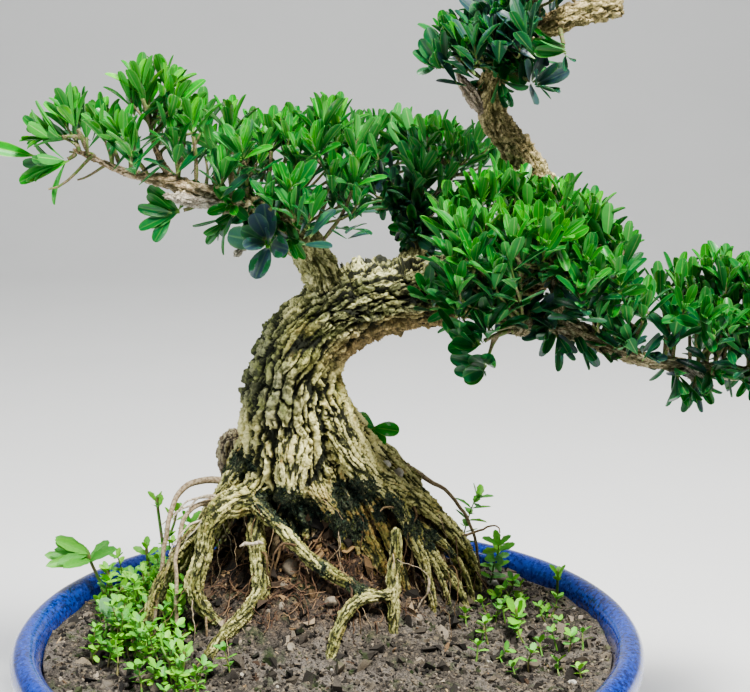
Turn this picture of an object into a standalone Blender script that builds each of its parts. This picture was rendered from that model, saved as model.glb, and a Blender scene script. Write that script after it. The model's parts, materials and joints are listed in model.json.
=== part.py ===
"""Boxwood bonsai in a round glazed pot.

The tree is one woody piece: a leaning trunk that doubles back on itself, four branches and a
skirt of bare roots that stand over a mound of soil. Leafy sprays stand a hair off the bark they
grow from, small weeds stand in holes in the soil, and a glazed pot holds it all.

Sizes are in millimetres, turned to metres where a mesh is made. X runs to the right, Y away from
the viewer, Z up, and the origin is the centre of the pot's flat foot.
"""

import math
import random

import bmesh
import bpy
from mathutils import Vector, noise
from mathutils.bvhtree import BVHTree

MM = 0.001
GAP = 0.35

# Pot
RIM_HEIGHT = 78.0
RIM_RADIUS = 151.5
LIP_WIDTH = 15.0
FOOT_RADIUS = 92.0
FLOOR_TOP = 9.0
POT_SIDES = 32
DRAIN_HOLE_RADIUS = 9.0
DRAIN_HOLE_OFFSET = 48.0
DRAIN_HOLE_SIDES = 16
SMOOTH_BELOW_DEGREES = 40

# The pot's outer wall from the foot to the lip, and its inner wall from the floor to the lip, as
# (radius, height).
OUTER_WALL = [(FOOT_RADIUS, 0), (FOOT_RADIUS + 2, 5), (119, 14), (136, 34), (143, 54)]
INNER_WALL = [(94, FLOOR_TOP), (114, 20), (128.5, 40), (135.5, 62)]

# Drain screens
SCREEN_SIDE = 30.0
SCREEN_THICKNESS = 1.2
SCREEN_HOLES = 2
SCREEN_HOLE_SHARE = 0.64

# Soil
SOIL_EDGE_HEIGHT = 69.0
MOUND_HEIGHT = 54.0
MOUND_CENTRE = (-8.0, 30.0)
MOUND_RADIUS = 45.0
MOUND_SHARPNESS = 2.4
SOIL_RINGS = 6
SOIL_LEVELS = (62.0, 40.0, FLOOR_TOP + GAP)
SOIL_LUMPS = ((2.2, 0.05, 1.0), (1.1, 0.13, 5.0))
WOOD_ROOM = 0.45

# Leaves and stems
LEAF_LENGTH = 18.0
LEAF_WIDTH = 7.0
LEAF_THICKNESS = 0.7
LEAF_WIDEST = 0.62
LEAF_TIP_WIDTH = 0.5
STEM_BASE = 1.25
STEM_TIP = 0.6
STEM_FORK_AT = 0.55
STEM_SEAT = 2.4
WHORL_SPACING = 3.3
BUD_LENGTH = 1.6
CLEARANCE = 0.25

# Stems: how far a curve runs on straight at its ends, how much of it may bear leaves, how its
# thickness falls, and the thickness of a fork and of a side shoot.
STEM_RUN = 0.35
LEAFY_LIMIT = 0.7
STEM_TAPER = 0.7
FORK_RISE = 0.4
FORK_BASE = 0.95
SHOOT_BASE = 0.85
SEAT_TRIES = 12
SEAT_STEP = 0.08
SEAT_LEAN = 0.6
LIGHT_PULL = 0.7
LIGHT_KEEP = 0.75
LEVEL_SHOOT = 0.05

# Side shoots, on the sprays whose names start so
SIDE_SHOOTS = ("heart", "far")
SHOOT_TRIES = 10
SHOOT_HEIGHT = (0.6, 0.95)
SHOOT_SPREAD = (9.0, 13.0)
SHOOT_SKEW = 0.7
SHOOT_SHORTEST = 11.0

# How leaves lean out and turn, in degrees and shares. Each new try is looser and smaller.
LEAF_TRIES = 14
TOP_LEAN = 24
LEAN_STEP = 26
LEAN_RANGE = 18
TURN_RANGE = 0.4
FIRST_LOOSENESS = 0.3
TRIES_TO_LOOSEN = 8
TRY_SHRINK = 0.015
LEAF_SIZES = (0.84, 1.06)
LEAF_WIDTHS = (0.92, 1.08)
TOP_LEAF_SIZE = 0.85
TIP_DROOP = 0.05
STALK_HALF_WIDTH = 0.5
NEAR_SHARE = 0.3
SEAT_SHARE = 0.06

# Weeds
WEED_FOOT_DEPTH = 4.0
WEED_STEM = 0.75
WEED_FORK = 0.65

# Limbs: how far apart their rings lie, and how their ridges wander and swell
LIMB_STEP = 16.0
RIDGE_WANDER = 5.4
RIDGE_SWELL = (0.55, 0.9)
PATH_STEP = 4.0
START_SIDE = (0.31, 0.95, 0.05)
STEM_START_SIDE = (0.2, 0.9, 0.1)

# Finishes, as colour and roughness
FINISHES = {
    "blue_glaze": ((0.012, 0.06, 0.33), 0.18),
    "bark": ((0.42, 0.36, 0.2), 0.85),
    "earth": ((0.11, 0.08, 0.055), 0.95),
    "leaf_green": ((0.07, 0.3, 0.05), 0.35),
    "weed_green": ((0.2, 0.5, 0.07), 0.5),
    "net_black": ((0.03, 0.03, 0.03), 0.6),
    "helper": ((0.5, 0.5, 0.5), 1.0),
}

# Each limb of the tree: how many sides its ring has, how deep its ridges are, and the points of
# its middle line with the radius at each, as (x, y, z, radius).
LIMBS = {
    "trunk": (18, 1.5, [
        (-9, 32, 108, 22), (-11, 28, 133, 26), (-15, 22, 155, 25.5), (-17, 17, 174, 24),
        (-17, 13, 193, 22), (-12, 10, 211, 20), (0, 8, 227, 18.7), (17, 8, 236, 17.7),
        (37, 10, 239, 16), (59, 14, 241, 14), (82, 20, 242, 11.5), (100, 25, 249, 9.5),
        (108, 26, 265, 8), (101, 22, 287, 7.2), (87, 18, 307, 6.9), (77, 14, 321, 6.5),
        (75, 12, 335, 6), (82, 11, 349, 5.7), (95, 11, 360, 5.6), (112, 10, 368, 5.4),
        (131, 8, 372, 5)]),
    "left_branch": (6, 0.5, [
        (4, 8, 236, 10), (-4, 2, 255, 8.6), (-12, -4, 269, 7.3), (-24, -8, 280, 6),
        (-38, -12, 285, 5.6), (-53, -14, 290, 4.5), (-65, -15, 295, 3.3), (-77, -17, 298, 2.5),
        (-90, -19, 302, 1.9), (-101, -20, 307, 1.5), (-110, -22, 312, 1.1)]),
    "left_fork": (4, 0.2, [
        (-63, -15, 295, 2.2), (-71, -14, 302, 1.9), (-75, -12, 310, 1.6), (-77, -12, 319, 1.1)]),
    "left_jin": (6, 0.3, [
        (-42, -13, 285, 3.2), (-50, -18, 280, 2.8), (-58, -21, 279, 2.4), (-66, -23, 280, 1.4)]),
    "left_snag": (6, 0.3, [
        (-30, -10, 280, 3.4), (-35, -16, 270, 2.4), (-40, -18, 263, 1.5)]),
    "back_branch": (6, 0.4, [
        (34, 24, 240, 8.5), (42, 40, 252, 6.4), (43, 52, 261, 5.3), (37, 66, 271, 4.4),
        (31, 80, 278, 3.5), (24, 92, 287, 2.2)]),
    "back_fork": (6, 0.3, [
        (42, 54, 262, 4), (50, 64, 272, 3.2), (58, 74, 282, 2.2)]),
    "right_branch": (6, 0.5, [
        (78, 17, 240, 9), (92, 5, 231, 7.2), (110, -4, 227, 5.3), (126, -8, 221, 4.3),
        (144, -10, 214, 3.8), (167, -10, 210, 3.5), (190, -10, 207, 3.2), (213, -10, 211, 2.4),
        (226, -10, 218, 1.3)]),
    "knob": (6, 0.5, [
        (82, 12, 240, 7), (86, -2, 236, 6.8), (88, -13, 232, 6.2), (89, -20, 229, 3.6)]),
    "heart_fork": (6, 0.3, [
        (104, -2, 228, 4.5), (106, -8, 240, 3.4), (104, -12, 252, 2.4)]),
    "far_stub": (6, 0.4, [
        (166, -10, 210, 4), (172, -13, 204, 3.4), (176, -15, 200, 2.2)]),
    "far_snag": (6, 0.4, [
        (194, -10, 207, 3.8), (200, -12, 202, 3.2), (205, -14, 200, 1.8)]),
    "top_jin": (6, 0.3, [
        (76, 14, 322, 4.4), (68, 10, 330, 3.4), (62, 8, 338, 2.4), (60, 7, 343, 1.2)]),
    "crown_leader": (6, 0.3, [
        (96, 11, 360, 4.6), (93, 8, 372, 3.2), (88, 4, 382, 1.8)]),
}

# The roots, in the same form. Each starts well inside the foot of the trunk.
ROOTS = {
    "crown_root": (6, 0.7, [
        (-17, 18, 162, 14), (-27, 12, 151, 10), (-37, 4, 142, 7.4), (-48, -4, 140, 5.6)]),
    "arch_root": (6, 0.5, [
        (-37, 4, 143, 6.6), (-48, -4, 141, 5.7), (-56, -8, 132, 4.4), (-59, -10, 117, 4.3),
        (-63, -12, 103, 4.5), (-58, -14, 93, 3.5), (-50, -16, 84, 2.8), (-46, -17, 72, 2.2)]),
    "inner_root": (6, 0.5, [
        (-31, 8, 142, 5.5), (-34, 0, 127, 4.2), (-32, -8, 110, 4.3), (-31, -12, 102, 4.2),
        (-36, -18, 95, 3.8), (-44, -25, 88, 3.5), (-52, -32, 81, 3), (-59, -39, 70, 2.2)]),
    "cross_root": (6, 0.4, [
        (-37, 2, 143, 4.8), (-22, -6, 130, 3.4), (-10, -12, 119, 3.2), (1, -16, 112, 3.3),
        (9, -18, 108, 3), (16, -20, 104, 2.8), (24, -20, 102, 2.8), (31, -17, 103, 2.4)]),
    "stub_root": (6, 0.4, [
        (33, -12, 131, 2.7), (32, -13, 117, 3.1), (31, -16, 104, 3.4), (31, -19, 92, 2.8),
        (30, -22, 76, 2)]),
    "side_root": (6, 0.3, [
        (28, -19, 102, 2.7), (20, -22, 102, 2.8), (14, -25, 101, 2.8), (9, -30, 97, 3),
        (5, -36, 90, 2.8), (2, -41, 80, 2.5), (0, -45, 68, 2)]),
    "ridge_root": (6, 0.9, [
        (-8, 14, 200, 13), (1, 11, 181, 11.5), (10, 7, 165, 8.8), (20, 4, 153, 6.8),
        (31, 5, 147, 5.5), (45, 12, 137, 4.6), (58, 22, 122, 4), (66, 32, 108, 3.6),
        (72, 44, 90, 3), (75, 52, 72, 2.3)]),
    "shoulder_root": (6, 0.8, [
        (2, 26, 176, 12), (15, 26, 160, 9.5), (30, 28, 148, 7), (45, 33, 132, 5.4),
        (57, 42, 112, 4.6), (66, 52, 92, 3.7), (70, 60, 72, 2.6)]),
    "flank_root": (6, 0.5, [
        (22, 4, 152, 5.5), (32, 1, 142, 3.9), (37, 0, 133, 3.2), (41, 0, 121, 2.9),
        (46, 2, 110, 2.5), (50, 3, 92, 2.1), (52, 3, 76, 1.7)]),
    "toe_root": (6, 0.4, [
        (36, 6, 134, 4.4), (46, 10, 118, 3), (54, 14, 105, 2.6), (63, 18, 92, 2.3),
        (69, 21, 74, 1.8)]),
    "heart_root": (8, 0.9, [
        (0, 14, 156, 12), (6, 11, 145, 9), (11, 9, 135, 7.6), (16, 8, 123, 6.6),
        (22, 6, 111, 5.9), (26, 5, 97, 4.8), (29, 4, 80, 3.4)]),
    "claw_root": (6, 0.5, [
        (-10, 10, 156, 9), (-4, 2, 146, 5.6), (2, 0, 137, 3.9), (6, 2, 125, 3),
        (9, 4, 108, 2.2)]),
    "front_comb": (6, 0.8, [
        (-14, 10, 190, 10), (-16, 0, 170, 9), (-17, -3, 155, 7.4), (-18, -2, 144, 5.2)]),
    "left_flare": (6, 0.8, [
        (-24, 22, 184, 11), (-34, 20, 164, 9.6), (-44, 20, 146, 7.4), (-53, 22, 132, 5.8),
        (-61, 22, 120, 4.8), (-68, 22, 109, 4), (-75, 21, 96, 3.3), (-81, 19, 76, 2.3)]),
    "left_stake": (6, 0.4, [
        (-56, 6, 130, 3.8), (-66, 2, 122, 3.2), (-74, -2, 112, 2.7), (-80, -6, 103, 2.5),
        (-84, -10, 93, 2.4), (-87, -14, 74, 2)]),
    "thin_arch": (4, 0.2, [
        (-38, 16, 143, 3), (-46, 14, 146, 2.1), (-55, 14, 148, 1.8), (-64, 12, 147, 1.6),
        (-71, 8, 143, 1.4), (-75, 3, 133, 1.2), (-78, -1, 116, 1.1), (-82, -4, 92, 1),
        (-84, -5, 70, 0.9)]),
    "thin_hook": (4, 0.2, [
        (-42, 6, 140, 2.4), (-52, 5, 141, 1.5), (-61, 2, 139, 1.2), (-68, -2, 133, 1.1),
        (-71, -8, 120, 1), (-71, -16, 98, 1), (-71, -20, 70, 0.9)]),
    "hump_root": (6, 0.5, [
        (4, 34, 166, 8), (12, 38, 162, 5.4), (21, 44, 156, 4.4), (30, 48, 150, 3.7),
        (37, 50, 143, 2.6), (46, 50, 138, 1.7), (57, 50, 131, 1.4), (66, 52, 120, 1.2),
        (72, 57, 106, 1.1), (76, 64, 86, 1), (78, 70, 68, 0.9)]),
    "rear_left": (6, 0.8, [
        (-20, 36, 166, 13), (-32, 48, 142, 8.4), (-44, 60, 118, 6), (-53, 70, 94, 4.4),
        (-60, 78, 70, 3)]),
    "rear_mid": (6, 0.8, [
        (-8, 42, 164, 13), (-6, 58, 136, 8), (-2, 72, 110, 5.6), (2, 82, 90, 4.2),
        (4, 90, 70, 3)]),
    "rear_right": (6, 0.8, [
        (8, 40, 158, 11), (22, 54, 134, 7), (36, 66, 110, 5), (46, 76, 88, 3.8),
        (52, 84, 70, 2.6)]),
    "root_stump": (6, 0.3, [
        (-38, 52, 112, 3.8), (-46, 60, 124, 3.9), (-50, 62, 136, 5.2), (-50, 62, 147, 6.9),
        (-49, 62, 154, 6.2), (-49, 62, 158, 3)]),
}

# Each spray of foliage: the limb it stands on, how far along that limb, and the ends of its
# shoots as (x, y, z, whorls of leaves). The first shoot is the main one, and the others fork
# from it.
SPRAYS = {
    "left_tip": ("left_branch", 0.95, [(-111, -22, 327, 2), (-121, -27, 317, 2)]),
    "left_end": ("left_branch", 0.985, [(-119, -24, 305, 2)]),
    "left_rise": ("left_branch", 0.84, [(-99, -8, 322, 2)]),
    "left_low": ("left_branch", 0.74, [(-88, -34, 320, 2)]),
    "left_crest": ("left_fork", 0.8, [(-81, -14, 340, 2), (-69, -17, 338, 2)]),
    "left_hind": ("left_branch", 0.68, [(-68, 18, 322, 2)]),
    "left_mid": ("left_branch", 0.6, [(-58, -20, 324, 2)]),
    "left_shelf": ("left_branch", 0.5, [(-42, -8, 322, 2), (-47, 18, 308, 2)]),
    "left_front": ("left_branch", 0.45, [(-35, -38, 314, 2)]),
    "left_inner": ("left_branch", 0.38, [(-23, -18, 317, 2)]),
    "left_deep": ("left_branch", 0.3, [(-15, 14, 315, 2)]),
    "left_near": ("left_branch", 0.2, [(6, -10, 323, 2), (-4, -28, 313, 2)]),
    "left_skirt": ("left_branch", 0.34, [(-14, -44, 297, 2)]),
    "left_corner": ("left_branch", 0.16, [(14, -24, 300, 2)]),
    "left_rosette": ("left_branch", 0.24, [(-26, -34, 274, 2)]),
    "left_under": ("left_branch", 0.55, [(-70, -16, 282, 2)]),
    "back_left": ("back_branch", 0.97, [(10, 90, 302, 2), (24, 104, 304, 2)]),
    "back_top": ("back_fork", 0.96, [(54, 78, 304, 2), (40, 96, 300, 2)]),
    "back_right": ("back_fork", 0.55, [(72, 80, 300, 2)]),
    "back_low": ("back_branch", 0.66, [(12, 60, 278, 2)]),
    "back_core": ("back_branch", 0.55, [(50, 62, 292, 2)]),
    "heart_west": ("knob", 0.62, [(57, -30, 279, 2), (65, -48, 268, 2)]),
    "heart_north": ("trunk", 0.47, [(70, -16, 290, 2), (84, -6, 290, 2)]),
    "heart_front": ("knob", 0.8, [(84, -44, 278, 2)]),
    "heart_crest": ("heart_fork", 0.95, [(99, -10, 287, 2), (103, -36, 275, 2)]),
    "heart_hind": ("trunk", 0.56, [(100, 44, 272, 2)]),
    "heart_east": ("right_branch", 0.25, [(121, -10, 281, 2), (115, -38, 264, 2)]),
    "heart_slope": ("right_branch", 0.36, [(132, -4, 264, 2), (130, -30, 251, 2)]),
    "heart_end": ("right_branch", 0.44, [(144, -20, 240, 2)]),
    "heart_side": ("knob", 0.5, [(58, -30, 245, 2)]),
    "heart_drop": ("knob", 0.9, [(66, -36, 226, 2)]),
    "far_near": ("right_branch", 0.55, [(154, 4, 243, 2)]),
    "far_rise": ("right_branch", 0.64, [(168, -2, 247, 2), (169, -30, 236, 2)]),
    "far_crest": ("right_branch", 0.74, [(182, -10, 253, 2)]),
    "far_mid": ("right_branch", 0.82, [(197, -4, 249, 2), (190, -29, 236, 2)]),
    "far_out": ("right_branch", 0.93, [(212, -10, 246, 2)]),
    "far_tip": ("right_branch", 0.99, [(231, -12, 239, 2)]),
    "peak_west": ("trunk", 0.825, [(55, 6, 357, 2), (50, -8, 346, 2)]),
    "peak_front": ("trunk", 0.835, [(67, -14, 361, 2)]),
    "peak_mid": ("trunk", 0.875, [(80, -20, 365, 2)]),
    "peak_low": ("trunk", 0.855, [(95, -9, 338, 2)]),
    "peak_side": ("trunk", 0.93, [(106, -14, 353, 2)]),
    "crown_west": ("crown_leader", 0.9, [(70, 4, 391, 2)]),
    "crown_mid": ("crown_leader", 0.72, [(90, -8, 400, 2), (84, 14, 398, 2)]),
    "crown_east": ("trunk", 0.955, [(110, 0, 390, 2)]),
    "root_leaf": ("hump_root", 0.18, [(21, 40, 168, 1)]),
}

# Each weed: where it stands, the ends of its stems as (x, y, z, pairs of leaves), and the length
# and width of its leaves.
WEEDS = {
    "weed_tall": ((-114, 54), [(-124, 60, 95, 2)], 17, 8.5),
    "weed_creeper_left": ((-106, 36), [(-111, 40, 92, 2), (-102, 26, 88, 1)], 7, 4.4),
    "weed_creeper_rear": ((-92, 62), [(-94, 60, 98, 3)], 7, 4.4),
    "weed_creeper_mid": ((-88, 26), [(-89, 24, 96, 2), (-98, 14, 84, 2)], 7, 4.4),
    "weed_creeper_front": ((-66, -48), [(-64, -50, 88, 2), (-76, -40, 86, 1)], 7, 4.4),
    "weed_sprig": ((-88, 92), [(-92, 94, 112, 2), (-82, 98, 104, 2)], 7.5, 4.6),
    "weed_round": ((-104, -6), [(-102, -8, 88, 2)], 9, 8),
    "weed_right": ((92, 12), [(91, 8, 84, 2)], 9.5, 6),
    "weed_rear_right": ((116, 62), [(116, 60, 84, 2)], 8, 4.4),
}


def clear_scene():
    for obj in list(bpy.data.objects):
        bpy.data.objects.remove(obj)


def finish(name):
    """A Principled material in one of the part's own colours."""
    colour, roughness = FINISHES[name]
    material = bpy.data.materials.new(name)
    material.use_nodes = True
    shader = material.node_tree.nodes["Principled BSDF"]
    shader.inputs["Base Color"].default_value = (*colour, 1.0)
    shader.inputs["Roughness"].default_value = roughness
    shader.inputs["Metallic"].default_value = 0.0
    material.diffuse_color = (*colour, 1.0)
    return material


def place(name, points, faces, material):
    """Adds an object whose points are given in millimetres."""
    mesh = bpy.data.meshes.new(name)
    mesh.from_pydata([Vector(p) * MM for p in points], [], faces)
    mesh.materials.append(material)
    obj = bpy.data.objects.new(name, mesh)
    bpy.context.scene.collection.objects.link(obj)
    return obj


def helper(name, points, faces):
    """A cutter or a piece to be joined, which is no part of the model itself."""
    obj = place(name, points, faces, bpy.data.materials["helper"])
    obj.hide_render = True
    obj.display_type = "WIRE"
    return obj


def smooth_path(points, step):
    """A Catmull-Rom curve through (x, y, z, radius) points, as (position, radius) about every step."""
    path = []
    for i in range(len(points) - 1):
        before = points[max(i - 1, 0)]
        start, end = points[i], points[i + 1]
        after = points[min(i + 2, len(points) - 1)]
        count = max(1, round((Vector(end[:3]) - Vector(start[:3])).length / step))
        for k in range(count):
            t = k / count
            value = [
                0.5 * (2 * b + (c - a) * t + (2 * a - 5 * b + 4 * c - d) * t**2
                       + (3 * b - a - 3 * c + d) * t**3)
                for a, b, c, d in zip(before, start, end, after)
            ]
            path.append((Vector(value[:3]), value[3]))
    path.append((Vector(points[-1][:3]), float(points[-1][3])))
    return path


def frames(centres):
    """Unit (across, up, along) at each centre, carried along the path without twisting."""
    made = []
    across = None
    for i in range(len(centres)):
        along = (centres[min(i + 1, len(centres) - 1)] - centres[max(i - 1, 0)]).normalized()
        if across is None:
            across = along.cross(Vector(START_SIDE)).normalized()
        across = (across - along * across.dot(along)).normalized()
        made.append((across, along.cross(across), along))
    return made


def tube(path, sides, ridge, seed=0.0):
    """A closed tube with a ridge on every second side. The ridges wander, and are as high as
    given where the tube is thickest."""
    centres = [centre for centre, _ in path]
    thickest = max(radius for _, radius in path)
    least, more = RIDGE_SWELL
    points, faces = [], []
    for i, ((centre, radius), (across, up, _)) in enumerate(zip(path, frames(centres))):
        for j in range(sides):
            wander = RIDGE_WANDER / sides * noise.noise(Vector((seed + j * 1.7, i * 0.35, 0.0)))
            angle = 2 * math.pi * j / sides + wander
            swell = least + more * abs(noise.noise(Vector((seed + j * 2.3, i * 0.5, 4.0))))
            height = ridge * swell * radius / thickest
            reach = radius + (height if j % 2 else -height)
            points.append(centre + (across * math.cos(angle) + up * math.sin(angle)) * reach)
    for i in range(len(path) - 1):
        for j in range(sides):
            a, b = i * sides + j, i * sides + (j + 1) % sides
            c, d = b + sides, a + sides
            faces += [(a, b, c), (a, c, d)] if j % 2 else [(a, b, d), (b, c, d)]
    last = (len(path) - 1) * sides
    faces.append(tuple(reversed(range(sides))))
    faces.append(tuple(range(last, last + sides)))
    return points, faces


def evaluated_mesh(obj):
    graph = bpy.context.evaluated_depsgraph_get()
    return bpy.data.meshes.new_from_object(obj.evaluated_get(graph))


def keep_largest_body(mesh):
    """Drops the loose scraps that a Boolean leaves."""
    bm = bmesh.new()
    bm.from_mesh(mesh)
    bmesh.ops.remove_doubles(bm, verts=bm.verts, dist=1e-6)
    unseen = set(bm.verts)
    bodies = []
    while unseen:
        body, stack = set(), [unseen.pop()]
        while stack:
            vert = stack.pop()
            body.add(vert)
            for edge in vert.link_edges:
                other = edge.other_vert(vert)
                if other in unseen:
                    unseen.discard(other)
                    stack.append(other)
        bodies.append(body)
    bodies.sort(key=len)
    scraps = [vert for body in bodies[:-1] for vert in body]
    bmesh.ops.delete(bm, geom=scraps, context="VERTS")
    bmesh.ops.triangulate(bm, faces=bm.faces)
    bm.to_mesh(mesh)
    bm.free()


def combine(obj, others, operation):
    """One Boolean of obj with all the others, applied. The others are removed."""
    group = bpy.data.collections.new(obj.name + "_tools")
    bpy.context.scene.collection.children.link(group)
    for other in others:
        bpy.context.scene.collection.objects.unlink(other)
        group.objects.link(other)
    modifier = obj.modifiers.new(operation.title(), "BOOLEAN")
    modifier.operation = operation
    modifier.operand_type = "COLLECTION"
    modifier.collection = group
    modifier.solver = "MANIFOLD"
    mesh = evaluated_mesh(obj)
    obj.modifiers.clear()
    keep_largest_body(mesh)
    old = obj.data
    obj.data = mesh
    mesh.name = old.name
    for other in others:
        bpy.data.objects.remove(other)
    bpy.data.collections.remove(group)


def make_wood(material):
    """The trunk with every branch and root joined to it."""
    sides, ridge, points = LIMBS["trunk"]
    wood = place("wood", *tube(smooth_path(points, LIMB_STEP), sides, ridge), material)
    others = []
    for number, (name, (sides, ridge, points)) in enumerate([*LIMBS.items(), *ROOTS.items()]):
        if name == "trunk":
            continue
        path = smooth_path(points, LIMB_STEP)
        others.append(helper(name, *tube(path, sides, ridge, seed=number * 5.3)))
    combine(wood, others, "UNION")
    return wood


class Solid:
    """An object's points and faces, in millimetres."""

    def __init__(self, obj):
        self.points = [v.co / MM for v in obj.data.vertices]
        self.faces = [tuple(face.vertices) for face in obj.data.polygons]


def ground(x, y):
    """Height of the soil: a mound under the roots, and a rough, gently sloping bed round it."""
    dx, dy = x - MOUND_CENTRE[0], y - MOUND_CENTRE[1]
    away = math.hypot(dx, dy)
    mound = MOUND_HEIGHT * math.exp(-((away / MOUND_RADIUS) ** MOUND_SHARPNESS) / 2)
    rough = sum(
        height * noise.noise(Vector((x * scale, y * scale, place)))
        for height, scale, place in SOIL_LUMPS)
    return SOIL_EDGE_HEIGHT + mound + rough


def turned(profile, sides):
    """A solid turned about the Z axis from (radius, height) points that start and end on it."""
    points, faces = [], []
    rings = []
    for radius, height in profile:
        if radius == 0:
            rings.append([len(points)])
            points.append((0.0, 0.0, height))
            continue
        rings.append(list(range(len(points), len(points) + sides)))
        for k in range(sides):
            angle = 2 * math.pi * k / sides
            points.append((radius * math.cos(angle), radius * math.sin(angle), height))
    for low, high in zip(rings, rings[1:]):
        for k in range(sides):
            n = (k + 1) % sides
            if len(low) == 1:
                faces.append((low[0], high[n], high[k]))
            elif len(high) == 1:
                faces.append((low[k], low[n], high[0]))
            else:
                faces.append((low[k], low[n], high[n], high[k]))
    return points, faces


def wall_radius(height):
    """The pot's inner radius at a height, from its floor up to the lip."""
    wall = INNER_WALL + [(RIM_RADIUS - LIP_WIDTH, RIM_HEIGHT)]
    for (inner, low), (outer, high) in zip(wall, wall[1:]):
        if height <= high:
            return inner + (outer - inner) * max(0.0, height - low) / (high - low)
    return RIM_RADIUS - LIP_WIDTH


def make_pot(material):
    """A round bowl with a thick rolled lip, a flat foot and two drain holes."""
    lip = [
        (RIM_RADIUS - 3, RIM_HEIGHT - 18), (RIM_RADIUS, RIM_HEIGHT - 10),
        (RIM_RADIUS - 2, RIM_HEIGHT - 3), (RIM_RADIUS - LIP_WIDTH / 2, RIM_HEIGHT),
        (RIM_RADIUS - LIP_WIDTH, RIM_HEIGHT - 4)]
    profile = [(0, 0), *OUTER_WALL, *lip, *reversed(INNER_WALL), (0, FLOOR_TOP)]
    pot = place("pot", *turned(profile, POT_SIDES), material)
    low, high = -FLOOR_TOP, 2 * FLOOR_TOP
    drill = [(0, low), (DRAIN_HOLE_RADIUS, low), (DRAIN_HOLE_RADIUS, high), (0, high)]
    drills = []
    for side in (-1, 1):
        points, faces = turned(drill, DRAIN_HOLE_SIDES)
        points = [(x + side * DRAIN_HOLE_OFFSET, y, z) for x, y, z in points]
        drills.append(helper(f"drill_{side}", points, faces))
    combine(pot, drills, "DIFFERENCE")
    pot.data.set_sharp_from_angle(angle=math.radians(SMOOTH_BELOW_DEGREES))
    return pot


def box_shape(low, high):
    xs, ys, zs = zip(low, high)
    points = [(x, y, z) for z in zs for y in ys for x in xs]
    faces = [(0, 2, 3, 1), (4, 5, 7, 6), (0, 1, 5, 4), (2, 6, 7, 3), (0, 4, 6, 2), (1, 3, 7, 5)]
    return points, faces


def screen_box(side, grow):
    """The two corners of a drain screen, grown by a clearance."""
    half = SCREEN_SIDE / 2 + grow
    x = side * DRAIN_HOLE_OFFSET
    bottom = FLOOR_TOP + GAP
    return (x - half, -half, bottom - grow), (x + half, half, bottom + SCREEN_THICKNESS + grow)


def make_screen(name, side, material):
    """A square of plastic net that keeps the soil over a drain hole."""
    screen = place(name, *box_shape(*screen_box(side, 0.0)), material)
    pitch = SCREEN_SIDE / SCREEN_HOLES
    half = pitch * SCREEN_HOLE_SHARE / 2
    drills = []
    for i in range(SCREEN_HOLES):
        for j in range(SCREEN_HOLES):
            x = side * DRAIN_HOLE_OFFSET + (i - (SCREEN_HOLES - 1) / 2) * pitch
            y = (j - (SCREEN_HOLES - 1) / 2) * pitch
            shape = box_shape((x - half, y - half, 0), (x + half, y + half, 2 * FLOOR_TOP))
            drills.append(helper(f"{name}_hole_{i}{j}", *shape))
    combine(screen, drills, "DIFFERENCE")
    return screen


def soil_shape():
    """The block of soil: it follows the pot's wall, and its top is the ground."""
    points, faces = [(0.0, 0.0, ground(0, 0))], []
    rings = []
    outer = wall_radius(SOIL_EDGE_HEIGHT) - GAP
    for ring in range(1, SOIL_RINGS + 1):
        radius = outer * ring / SOIL_RINGS
        rings.append(list(range(len(points), len(points) + POT_SIDES)))
        for k in range(POT_SIDES):
            angle = 2 * math.pi * k / POT_SIDES
            x, y = radius * math.cos(angle), radius * math.sin(angle)
            height = ground(x, y) if ring < SOIL_RINGS else SOIL_EDGE_HEIGHT
            points.append((x, y, height))
    for height in SOIL_LEVELS:
        radius = wall_radius(height) - GAP
        rings.append(list(range(len(points), len(points) + POT_SIDES)))
        for k in range(POT_SIDES):
            angle = 2 * math.pi * k / POT_SIDES
            points.append((radius * math.cos(angle), radius * math.sin(angle), height))
    for k in range(POT_SIDES):
        faces.append((0, rings[0][k], rings[0][(k + 1) % POT_SIDES]))
    for inner, outward in zip(rings, rings[1:]):
        for k in range(POT_SIDES):
            n = (k + 1) % POT_SIDES
            faces += [(inner[k], outward[k], outward[n]), (inner[k], outward[n], inner[n])]
    faces.append(tuple(reversed(rings[-1])))
    return points, faces


def swollen(obj, name, amount):
    """A copy of obj, grown along its normals, that cuts its neighbour a hair clear of it."""
    bm = bmesh.new()
    bm.from_mesh(obj.data)
    bm.normal_update()
    points = [v.co / MM + v.normal * amount for v in bm.verts]
    faces = [tuple(v.index for v in face.verts) for face in bm.faces]
    bm.free()
    return helper(name, points, faces)


def make_soil(wood, weeds, material):
    """The soil, cut clear of the wood, of the drain screens and of each weed's stem."""
    soil = place("soil", *soil_shape(), material)
    cutters = [swollen(wood, "wood_room", WOOD_ROOM)]
    for side in (-1, 1):
        cutters.append(helper(f"screen_room_{side}", *box_shape(*screen_box(side, GAP))))
    for name, stems in weeds.items():
        for number, stem in enumerate(stems):
            room = stem.room(GAP)
            cutters.append(helper(f"{name}_room_{number}", room.points, room.faces))
    combine(soil, cutters, "DIFFERENCE")
    return soil


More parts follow.
